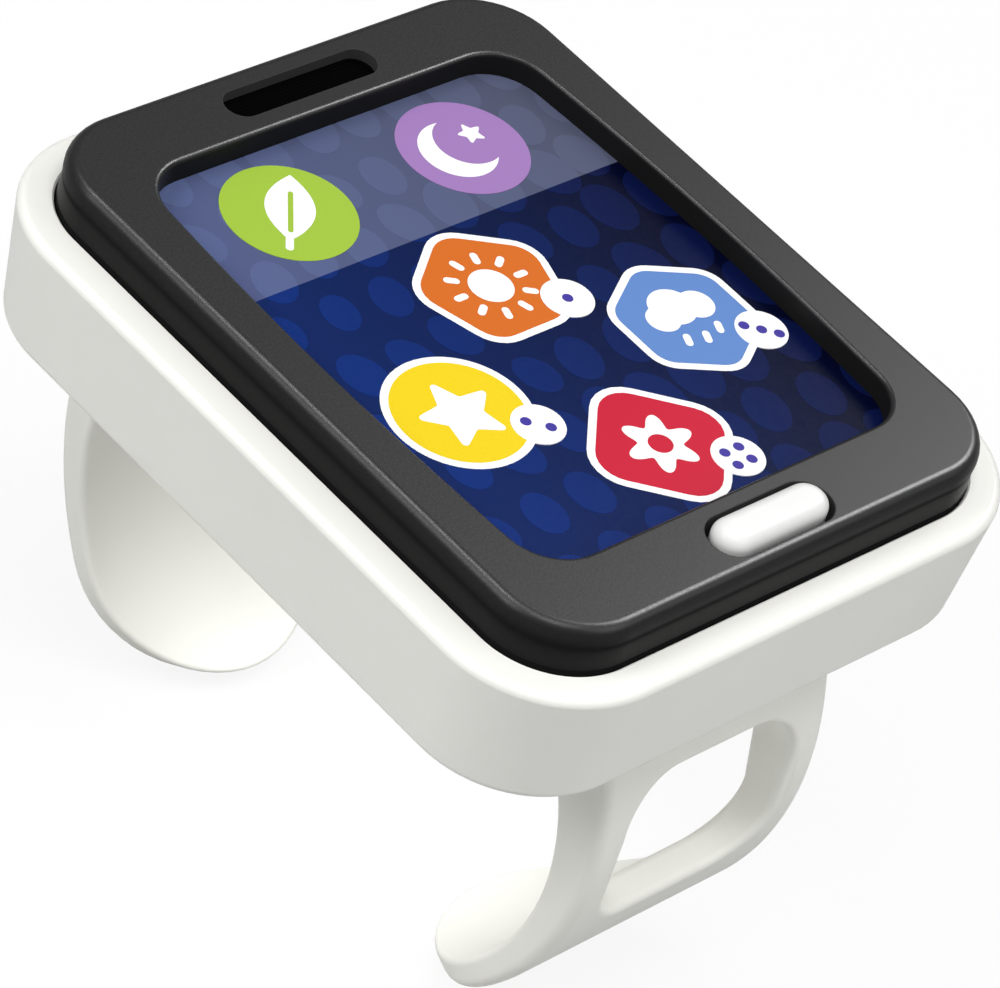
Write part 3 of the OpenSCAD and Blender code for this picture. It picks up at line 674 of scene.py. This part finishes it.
def bezelSide():  # up the waisted side and over the bead to the top
    b = bezel
    n = b["sideSteps"]
    height = topZ - rimZ
    side = [(-b["wall"], labelTop), (-b["wall"], skirtZ), (-b["tuck"], skirtZ)]
    beadAt = 1 - b["topDrop"] / height
    turns = ((-b["tuck"], 0.0), (0.0, b["wallAt"]), (-b["waist"], b["waistAt"]), (0.0, beadAt))
    for (out0, at0), (out1, at1) in zip(turns, turns[1:]):
        for i in range(n):
            share = (1 - math.cos(math.radians(180 * i / n))) / 2
            side.append((out0 + (out1 - out0) * share, rimZ + height * (at0 + (at1 - at0) * i / n)))
    side += roundEdge(b["topEdge"], b["topDrop"], topZ - b["topDrop"], 0, 90, n)
    return side + [(-b["topEdge"] - flatStrip, topZ)]


def openingEdge(z0, r):
    return edges(z0, topZ, 0, r, 6) + [(-r - flatStrip, topZ)]


def makeBezel():
    b = bezel
    bm = bmesh.new()
    outer = roundedRect(b["width"], b["length"], b["corner"])
    window = bowedRect(b["windowWidth"], b["windowLength"], b["windowCorner"], b["windowBow"])
    slot = barOutline(b["slotLength"], b["slotWidth"], cy=b["slotY"])
    hole = barOutline(b["holeLength"], b["holeWidth"], cy=b["holeY"])
    slotSide = [(-b["pocket"], labelTop), (-b["pocket"], clothTop)] + openingEdge(clothTop, b["slotEdge"])
    # the walls of the slot and the hole take material 1, the paler grey of painted light
    loops = [(outer, bezelSide()), (opening(window), openingEdge(labelTop, b["windowEdge"])),
             (opening(slot), slotSide, 1), (opening(hole), openingEdge(labelTop, b["holeEdge"]), 1)]
    addMoulding(bm, loops, step=b["meshStep"])
    greys = [finish["bezelGrey"], finish["slotWallPaintedLight"]]
    finishPiece("bezelShell", bm, greys, "case", "bezel_grey", "bezel")


# home button: a bar with a rounded crown, on the plate that keeps it in
button = dict(length=10.55, width=3.3, crown=1.05, crownSteps=14, lower=0.22, earLength=14.4, earWidth=2.9,
              earHeight=0.8, earCorner=0.4, y=-25.9)


def makeButton():
    b = button
    low, high = nodeBox("home_button")
    bm = bmesh.new()
    bar = barOutline(b["length"], b["width"], cy=b["y"])
    addMoulding(bm, [(bar, edges(low.z, high.z - b["lower"], 0, b["crown"], b["crownSteps"]))])
    ears = roundedRect(b["earLength"], b["earWidth"], b["earCorner"], 4, cy=b["y"])
    addMoulding(bm, [(ears, edges(low.z, low.z + b["earHeight"]))])
    finishPiece("homeButton", bm, [finish["buttonWhitePaintedShade"]], "button", "button_white", "home_button")


# silicone dome that gives way under the button: a base on the board and a short cone up to the plate
dome = dict(length=9.3, width=2.4, taper=0.3, edge=0.08, room=0.1, sink=0.1, inset=0.02)


def makeDome():
    d = dome
    low, high = nodeBox("button_pad")
    travel = next(j["range_m"][1] for j in frame["joints"] if j["name"] == "home_press") / mm
    baseZ = high.z - travel - d["room"]
    bm = bmesh.new()
    base = barOutline(d["length"], d["width"], cy=button["y"])
    addMoulding(bm, [(base, edges(low.z, baseZ, 0, d["edge"], 4))])
    rounded = edges(high.z, high.z, 0, d["edge"], 4)[1:]
    cone = [(0, baseZ - d["sink"])] + [(offset - d["taper"], z) for offset, z in rounded]
    addMoulding(bm, [(circle(d["width"] / 2 - d["inset"], 32, cy=button["y"]), cone)])
    grey = [finish["siliconeGrey"]]
    piece = finishPiece("buttonDome", bm, grey, "case", "silicone", "button_pad", weighted=False)
    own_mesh(piece)


# printed screen: plain badges and discs, each ink a thin layer on the label
screen = dict(sink=0.01, layer=0.02, border=0.62, disc=5.2, bubble=2.05, bubbleX=4.4, bubbleY=-3.6, pip=0.43)
inkOrder = list(inks)
roundSteps = 120


def addInk(bm, outline, layer, ink, swell=0.0):
    top = labelTop + screen["layer"] * layer
    side = [(swell, labelTop - screen["sink"]), (swell, top)]
    addMoulding(bm, [(outline, side)], index=inkOrder.index(ink))


def starOutline(points, outer, inner, r):
    tips = regularPolygon(points, outer)
    dips = regularPolygon(points, inner, 90 + 180 / points)
    return roundedPolygon([corner for pair in zip(tips, dips) for corner in pair], r, 4)


def cloudOutline(base, least, *puffs):  # outer edge of overlapping puffs (x, y, r), cut off level at the base
    points = []
    for i in range(roundSteps):
        a = math.radians(360 * i / roundSteps)
        dx, dy = math.cos(a), math.sin(a)
        reach = least
        for x, y, r in puffs:
            along = x * dx + y * dy
            apart = r * r - x * x - y * y + along * along
            if apart > 0:
                reach = max(reach, along + math.sqrt(apart))
        if dy < 0:
            reach = min(reach, base / dy)
        points.append((reach * dx, reach * dy))
    return traced(points)


def petalOutline(petals, r, swing):
    points = []
    for i in range(roundSteps):
        turn = 360 * i / roundSteps
        reach = r + swing * math.cos(math.radians(turn * petals))
        points.append((reach * math.cos(math.radians(turn)), reach * math.sin(math.radians(turn))))
    return traced(points)


def leafOutline(length, width, n=14):  # pointed at both ends
    steps = [-1 + i / n for i in range(2 * n + 1)]
    low = [(length / 2 * u, -width / 2 * (1 - u * u)) for u in steps]
    return traced(low + [(-x, -y) for x, y in low[1:-1]])


def crescentOutline(outer, inner, shift):
    x = (outer ** 2 - inner ** 2 + shift ** 2) / (2 * shift)
    outside = math.degrees(math.acos(x / outer))
    hollowReach = math.degrees(math.acos((x - shift) / inner))
    back = arc(0, 0, outer, outside, 360 - outside, 40)
    hollow = arc(shift, 0, inner, 360 - hollowReach, hollowReach, 30)[1:-1]
    return traced([(p[0], p[1]) for p in back + hollow])


sun = dict(radius=1.75, rays=10, rayLength=1.25, rayWidth=0.6, rayAt=2.95)


def sunMotif(bm, x, y):
    addInk(bm, circle(sun["radius"], 40, x, y), 3, "white")
    ray = shifted(barOutline(sun["rayLength"], sun["rayWidth"], 6), sun["rayAt"], 0)
    for i in range(sun["rays"]):
        addInk(bm, shifted(ray, x, y, 360 / sun["rays"] * i), 3, "white")


star = dict(points=5, outer=3.7, inner=1.75, corner=0.3, drop=0.2)


def starMotif(bm, x, y):
    outline = starOutline(star["points"], star["outer"], star["inner"], star["corner"])
    addInk(bm, shifted(outline, x, y - star["drop"]), 3, "white")


rain = dict(puffs=((-1.75, -0.35, 1.35), (-0.2, 0.35, 1.9), (1.75, -0.25, 1.45)), base=-1.7, least=0.3,
            lift=1.0, drops=((-1.6, -1.9), (0.0, -2.3), (1.6, -1.9)), dropLength=1.3, dropWidth=0.6,
            slant=65)


def rainMotif(bm, x, y):
    cloud = cloudOutline(rain["base"], rain["least"], *rain["puffs"])
    addInk(bm, shifted(cloud, x, y + rain["lift"]), 3, "white")
    drop = barOutline(rain["dropLength"], rain["dropWidth"], 6)
    for dx, dy in rain["drops"]:
        addInk(bm, shifted(drop, x + dx, y + dy, rain["slant"]), 3, "white")


flower = dict(petals=6, radius=2.35, swing=0.6, middle=0.95)


def flowerMotif(bm, x, y):
    petals = petalOutline(flower["petals"], flower["radius"], flower["swing"])
    addInk(bm, shifted(petals, x, y), 3, "white")
    addInk(bm, circle(flower["middle"], 30, x, y), 4, "red")


leaf = dict(length=7.4, width=3.8, at=0.4, slant=50, stalkLength=2.2, stalkWidth=0.6, stalkX=-2.0,
            stalkY=-2.4, veinLength=4.6, veinWidth=0.4, veinX=0.1)


def leafMotif(bm, x, y):
    stalk = barOutline(leaf["stalkLength"], leaf["stalkWidth"], 6)
    vein = barOutline(leaf["veinLength"], leaf["veinWidth"], 6)
    blade = leafOutline(leaf["length"], leaf["width"])
    addInk(bm, shifted(stalk, x + leaf["stalkX"], y + leaf["stalkY"], leaf["slant"]), 3, "white")
    addInk(bm, shifted(blade, x + leaf["at"], y + leaf["at"], leaf["slant"]), 4, "white")
    addInk(bm, shifted(vein, x + leaf["veinX"], y, leaf["slant"]), 5, "green")


night = dict(outer=3.1, inner=2.7, shift=1.5, moonX=-0.5, turn=20, starOuter=1.25, starInner=0.6,
             starCorner=0.12, starX=1.7, starY=1.0)


def nightMotif(bm, x, y):
    moon = crescentOutline(night["outer"], night["inner"], night["shift"])
    small = starOutline(star["points"], night["starOuter"], night["starInner"], night["starCorner"])
    addInk(bm, shifted(moon, x + night["moonX"], y, night["turn"]), 3, "white")
    addInk(bm, shifted(small, x + night["starX"], y + night["starY"]), 3, "white")


badges = (
    dict(ink="orange", at=(0.0, 3.2), pips=1, motif=sunMotif,
         edge=roundedPolygon(regularPolygon(5, 6.0), 2.2)),
    dict(ink="yellow", at=(-11.3, -6.0), pips=2, motif=starMotif, edge=circle(5.1, 60)),
    dict(ink="sky", at=(11.3, -6.0), pips=3, motif=rainMotif,
         edge=roundedPolygon(regularPolygon(6, 5.7), 1.9)),
    dict(ink="red", at=(0.0, -15.2), pips=4, motif=flowerMotif,
         edge=roundedPolygon(regularPolygon(4, 6.6), 2.4)),
)
discs = (
    dict(ink="green", at=(-8.6, 16.0), motif=leafMotif),
    dict(ink="purple", at=(8.6, 16.0), motif=nightMotif),
)
pipPlaces = {1: ((0, 0),), 2: ((-0.65, 0.65), (0.65, -0.65)), 3: ((-0.95, 0.95), (0, 0), (0.95, -0.95)),
             4: ((-0.7, -0.7), (-0.7, 0.7), (0.7, -0.7), (0.7, 0.7))}


def makePrint():
    bm = bmesh.new()
    for badge in badges:
        x, y = badge["at"]
        edge = shifted(badge["edge"], x, y)
        addInk(bm, edge, 1, "white", screen["border"])
        addInk(bm, edge, 2, badge["ink"])
        badge["motif"](bm, x, y)
        bubbleX, bubbleY = x + screen["bubbleX"], y + screen["bubbleY"]
        addInk(bm, circle(screen["bubble"], 40, bubbleX, bubbleY), 4, "white")
        for dx, dy in pipPlaces[badge["pips"]]:
            addInk(bm, circle(screen["pip"], 16, bubbleX + dx, bubbleY + dy), 5, "indigo")
    for disc in discs:
        x, y = disc["at"]
        addInk(bm, circle(screen["disc"], 60, x, y), 2, disc["ink"])
        disc["motif"](bm, x, y)
    finishPiece("screenPrint", bm, list(inks.values()), "case", "printed_film", weighted=False)


# a Geometry Nodes tree, with named inputs that its modifier sets
class Graph:
    def __init__(self, name, **inputs):
        self.tree = bpy.data.node_groups.new(name, "GeometryNodeTree")
        self.values = inputs
        self.sockets = {}
        self.tree.interface.new_socket(name="Geometry", in_out="INPUT", socket_type="NodeSocketGeometry")
        self.tree.interface.new_socket(name="Geometry", in_out="OUTPUT", socket_type="NodeSocketGeometry")
        for key, value in inputs.items():
            kind = "NodeSocketInt" if isinstance(value, int) else "NodeSocketFloat"
            socket = self.tree.interface.new_socket(name=key, in_out="INPUT", socket_type=kind)
            self.sockets[key] = socket.identifier
        self.source = self.tree.nodes.new("NodeGroupInput")
        self.end = self.tree.nodes.new("NodeGroupOutput")

    def given(self, key):
        return self.source.outputs[key]

    def add(self, kind, settings=None, **inputs):
        node = self.tree.nodes.new(kind)
        for key, value in (settings or {}).items():
            setattr(node, key, value)
        for key, value in inputs.items():
            self.feed(node.inputs[key.replace("_", " ")], value)
        return node

    def feed(self, socket, value):
        if isinstance(value, bpy.types.NodeSocket):
            self.tree.links.new(value, socket)
        else:
            socket.default_value = value

    def math(self, operation, a, b=0.0):
        node = self.tree.nodes.new("ShaderNodeMath")
        node.operation = operation
        self.feed(node.inputs[0], a)
        self.feed(node.inputs[1], b)
        return node.outputs[0]

    def times(self, a, b):
        return self.math("MULTIPLY", a, b)

    def vector(self, x=0.0, y=0.0, z=0.0):
        return self.add("ShaderNodeCombineXYZ", X=x, Y=y, Z=z).outputs[0]

    def moved(self, mesh, **inputs):
        return self.add("GeometryNodeTransform", Geometry=mesh, **inputs).outputs[0]

    def random(self, low, high, seed):
        node = self.add("FunctionNodeRandomValue", dict(data_type="FLOAT"))
        node.inputs[2].default_value = low
        node.inputs[3].default_value = high
        self.feed(node.inputs["Seed"], seed)
        return node.outputs[1]

    def finish(self, instances, material):
        solid = self.add("GeometryNodeRealizeInstances", Geometry=instances).outputs[0]
        dressed = self.add("GeometryNodeSetMaterial", Geometry=solid, Material=material).outputs[0]
        self.tree.links.new(dressed, self.end.inputs[0])


grownCrease = 35


def growPiece(name, points, graph, body, slot, *stoodFor):
    seedMesh = bpy.data.meshes.new(name + " points")
    seedMesh.from_pydata([[c * mm for c in p] for p in points], [], [])
    piece = bpy.data.objects.new(name, seedMesh)
    scene.collection.objects.link(piece)
    modifier = piece.modifiers.new("grow", "NODES")
    modifier.node_group = graph.tree
    for key, value in graph.values.items():
        modifier[graph.sockets[key]] = value
    depsgraph = bpy.context.evaluated_depsgraph_get()
    grown = bpy.data.meshes.new_from_object(piece.evaluated_get(depsgraph))
    piece.modifiers.remove(modifier)
    piece.data = grown
    grown.name = name
    grown.set_sharp_from_angle(angle=math.radians(grownCrease))
    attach(piece, body)
    if stoodFor:
        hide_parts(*stoodFor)


# spotted ground: staggered rows of ovals, larger to the right, each a little out of place
spots = dict(columns=9, rows=9, pitchX=4.55, pitchY=5.5, length=5.3, width=3.9, thick=0.02, jitter=0.45,
             seed=7, middle=0.92, growth=6.0, smallest=0.86, largest=1.08, lean=0.35, thinnest=0.7,
             thickest=1.3)


def spotGraph():
    p = spots
    g = Graph("spotted ground", Columns=p["columns"], Rows=p["rows"], PitchX=p["pitchX"] * mm,
              PitchY=p["pitchY"] * mm, Length=p["length"] * mm, Width=p["width"] * mm,
              Thickness=p["thick"] * mm, Level=labelTop * mm, Jitter=p["jitter"] * mm, Seed=p["seed"])
    wide = g.times(g.math("SUBTRACT", g.given("Columns"), 1.0), g.given("PitchX"))
    tall = g.times(g.math("SUBTRACT", g.given("Rows"), 1.0), g.given("PitchY"))
    grid = g.add("GeometryNodeMeshGrid", Size_X=wide, Size_Y=tall, Vertices_X=g.given("Columns"),
                 Vertices_Y=g.given("Rows")).outputs["Mesh"]
    place = g.add("ShaderNodeSeparateXYZ", Vector=g.add("GeometryNodeInputPosition").outputs[0])
    row = g.math("ROUND", g.math("DIVIDE", g.math("ADD", place.outputs[1], tall), g.given("PitchY")))
    odd = g.math("FLOORED_MODULO", row, 2.0)
    stagger = g.times(g.math("SUBTRACT", odd, 0.5), g.times(g.given("PitchX"), 0.5))
    seed = g.given("Seed")
    shiftX = g.times(g.random(-1.0, 1.0, seed), g.given("Jitter"))
    shiftY = g.times(g.random(-1.0, 1.0, g.math("ADD", seed, 1.0)), g.given("Jitter"))
    offset = g.vector(g.math("ADD", stagger, shiftX), shiftY, g.given("Level"))
    points = g.add("GeometryNodeSetPosition", Geometry=grid, Offset=offset).outputs[0]
    oval = g.add("GeometryNodeMeshCylinder", Vertices=28, Radius=0.5, Depth=1.0).outputs["Mesh"]
    oval = g.moved(oval, Scale=g.vector(g.given("Width"), g.given("Length"), g.given("Thickness")))
    growth = g.math("MULTIPLY_ADD", place.outputs[0], p["growth"])
    growth.node.inputs[2].default_value = p["middle"]
    size = g.times(growth, g.random(p["smallest"], p["largest"], g.math("ADD", seed, 2.0)))
    lean = g.random(-p["lean"], p["lean"], g.math("ADD", seed, 3.0))
    thick = g.random(p["thinnest"], p["thickest"], g.math("ADD", seed, 4.0))
    spread = g.add("GeometryNodeInstanceOnPoints", Points=points, Instance=oval, Rotation=g.vector(z=lean),
                   Scale=g.vector(size, size, thick))
    g.finish(spread.outputs[0], finish["spots"])
    return g


# screws: tapered head with a cross recess, core with a point, and a cut thread
screw = dict(head=3.5, headHeight=0.98, headTaper=0.8, core=1.35, coreFrom=0.9, point=0.55, crossLong=0.58,
             crossWide=0.15, crossDeep=1.2, pitch=0.8, threadDepth=0.16, threadFrom=0.3, threadShare=0.8,
             threadEnd=0.7, mostTurn=1.5)


def screwGraph(length, turned, seed):
    p = screw
    g = Graph("screw", Head=p["head"] * mm, HeadHeight=p["headHeight"] * mm, Core=p["core"] * mm,
              ThreadDepth=p["threadDepth"] * mm, Pitch=p["pitch"] * mm, Length=length * mm,
              Turned=math.pi if turned else 0.0, Seed=seed)
    head = g.given("Head")
    headHeight = g.given("HeadHeight")
    half = g.times(head, 0.5)
    cap = g.add("GeometryNodeMeshCone", Vertices=36, Side_Segments=3, Radius_Top=half,
                Radius_Bottom=g.times(half, p["headTaper"]), Depth=headHeight).outputs["Mesh"]
    crossLong = g.times(head, p["crossLong"])
    crossWide = g.times(head, p["crossWide"])
    deep = g.times(headHeight, p["crossDeep"])
    blades = [g.add("GeometryNodeMeshCube", Size=g.vector(x, y, deep)).outputs["Mesh"]
              for x, y in ((crossLong, crossWide), (crossWide, crossLong))]
    cut = g.add("GeometryNodeMeshBoolean", dict(operation="DIFFERENCE", solver="EXACT"))
    g.tree.links.new(cap, cut.inputs["Mesh 1"])
    for blade in blades:
        g.tree.links.new(blade, cut.inputs["Mesh 2"])
    core = g.times(g.given("Core"), 0.5)
    start = g.times(headHeight, p["coreFrom"])
    shankLength = g.math("SUBTRACT", g.given("Length"), start)
    shank = g.add("GeometryNodeMeshCone", Vertices=24, Side_Segments=2, Radius_Top=g.times(core, p["point"]),
                  Radius_Bottom=core, Depth=shankLength).outputs["Mesh"]
    shank = g.moved(shank, Translation=g.vector(z=start))
    threadLength = g.times(shankLength, p["threadShare"])
    turns = g.math("DIVIDE", threadLength, g.given("Pitch"))
    spiral = g.add("GeometryNodeCurveSpiral", Resolution=28, Rotations=turns, Start_Radius=core,
                   End_Radius=g.times(core, p["threadEnd"]), Height=threadLength).outputs[0]
    profile = g.add("GeometryNodeCurvePrimitiveCircle", dict(mode="RADIUS"), Resolution=4,
                    Radius=g.given("ThreadDepth")).outputs[0]
    thread = g.add("GeometryNodeCurveToMesh", Curve=spiral, Profile_Curve=profile, Fill_Caps=True).outputs[0]
    thread = g.moved(thread, Translation=g.vector(z=g.times(g.given("Length"), p["threadFrom"])))
    join = g.add("GeometryNodeJoinGeometry")
    for part in (cut.outputs[0], shank, thread):
        g.tree.links.new(part, join.inputs[0])
    angle = g.random(0.0, p["mostTurn"], g.given("Seed"))
    spread = g.add("GeometryNodeInstanceOnPoints", Points=g.given("Geometry"), Instance=join.outputs[0],
                   Rotation=g.vector(g.given("Turned"), 0.0, angle))
    g.finish(spread.outputs[0], finish["plated"])
    return g


def makeScrews(name, node, places, turned=False, seed=1):
    low, high = nodeBox(node)
    z = high.z if turned else low.z
    graph = screwGraph(high.z - low.z, turned, seed)
    growPiece(name, [(x, y, z) for x, y in places], graph, "case", "plated_steel", node)


def cornerPlaces(node):  # middles of the screws at the corners of a node's box
    low, high = nodeBox(node)
    r = screwHead / 2
    return [(x, y) for x in (low.x + r, high.x - r) for y in (low.y + r, high.y - r)]


doorLow, doorHigh = nodeBox("door_screw")
screwHead = doorHigh.x - doorLow.x
makeCase()
makeArm("cuffArmRear", 1, "cuff_arm_rear")
makeArm("cuffArmFront", -1, "cuff_arm_front")
makeBezel()
makeButton()
makeDome()
print("case, cuff arms, bezel, button and its dome made")
growPiece("screenSpots", [(0, 0, 0)], spotGraph(), "case", "printed_film")
makePrint()
print("screen printed:", len(badges) + len(discs), "motifs")
makeScrews("caseScrews", "case_screws", cornerPlaces("case_screws"), seed=2)
makeScrews("cuffScrews", "cuff_screws", cornerPlaces("cuff_screws"), seed=3)
makeScrews("boardScrews", "board_screws", cornerPlaces("board_screws"), turned=True, seed=4)
makeScrews("doorScrew", "door_screw", [((doorLow.x + doorHigh.x) / 2, (doorLow.y + doorHigh.y) / 2)], seed=5)
print("screws grown")


# studio: white backdrop to the eye, broad lamps above, on the left and in front, two that only give gloss,
# and a small one inside the cuff
studio = dict(worldLevel=0.26, floorSize=6.0, floorDrop=0.02, floorRough=0.9, floorShade=0.5, floorWhite=0.85,
              shadowShare=0.12)
lamps = dict(
    top=dict(power=5.6, size=0.5, place=(-0.18, -0.18, 1.0)),
    left=dict(power=4.7, size=0.5, place=(-0.69, 0.33, 0.69)),
    front=dict(power=3.2, size=0.6, place=(0.33, -0.69, 0.69)),
    gloss=dict(power=5.4, size=0.25, place=(0.46, 0.03, 0.52), onlyGloss=True),
    edge=dict(power=2.6, size=0.2, place=(-0.09, 0.31, 0.68), onlyGloss=True),
    cuff=dict(power=0.0042, size=0.026, place=(0, 0, underZ * mm - 0.002), aim=(0, 0, 0), spread=105),
)


def makeWorld():
    world = bpy.data.worlds.new("studio")
    scene.world = world
    world.use_nodes = True
    tree = world.node_tree
    level = tree.nodes.new("ShaderNodeMapRange")
    level.inputs["To Min"].default_value = studio["worldLevel"]
    level.inputs["To Max"].default_value = 1.0
    tree.links.new(tree.nodes.new("ShaderNodeLightPath").outputs["Is Camera Ray"], level.inputs["Value"])
    light = tree.nodes["Background"]
    light.inputs["Color"].default_value = (1, 1, 1, 1)
    tree.links.new(level.outputs["Result"], light.inputs["Strength"])


def makeFloor():
    bm = bmesh.new()
    half = studio["floorSize"] / 2
    bm.faces.new([bm.verts.new((x, y, -studio["floorDrop"] * mm)) for x, y in
                  ((-half, -half), (half, -half), (half, half), (-half, half))])
    mesh = bpy.data.meshes.new("floor")
    bm.to_mesh(mesh)
    bm.free()
    floor = bpy.data.objects.new("floor", mesh)
    scene.collection.objects.link(floor)
    s = Surface("floor pale")
    s.set(roughness=studio["floorRough"], specular=0.0)
    seen = s.add("ShaderNodeLightPath").outputs["Is Camera Ray"]
    s.link(s.span(seen, studio["floorShade"], studio["floorWhite"], 0, 1), s.shader.inputs["Base Color"])
    glow = s.add("ShaderNodeEmission")
    glow.inputs["Strength"].default_value = 1.0
    mix = s.add("ShaderNodeMixShader")
    s.link(s.span(seen, 0, 1 - studio["shadowShare"], 0, 1), mix.inputs[0])
    s.link(s.shader.outputs[0], mix.inputs[1])
    s.link(glow.outputs[0], mix.inputs[2])
    s.link(mix.outputs[0], s.tree.nodes["Material Output"].inputs["Surface"])
    mesh.materials.append(s.material)


def makeLamp(name, power, size, place, aim=(0, 0, topZ * mm), spread=180, onlyGloss=False):
    lamp = bpy.data.lights.new(name, "AREA")
    lamp.energy = power
    lamp.size = size
    lamp.spread = math.radians(spread)
    rig = bpy.data.objects.new(name, lamp)
    rig.location = place
    rig.rotation_mode = "QUATERNION"
    rig.rotation_quaternion = (Vector(aim) - Vector(place)).to_track_quat("-Z", "Y")
    rig.visible_diffuse = not onlyGloss
    rig.visible_camera = False
    scene.collection.objects.link(rig)


makeWorld()
makeFloor()
for name, setting in lamps.items():
    makeLamp(name, **setting)
scene.view_settings.view_transform = "Standard"
print("studio lit:", len(lamps), "lamps")
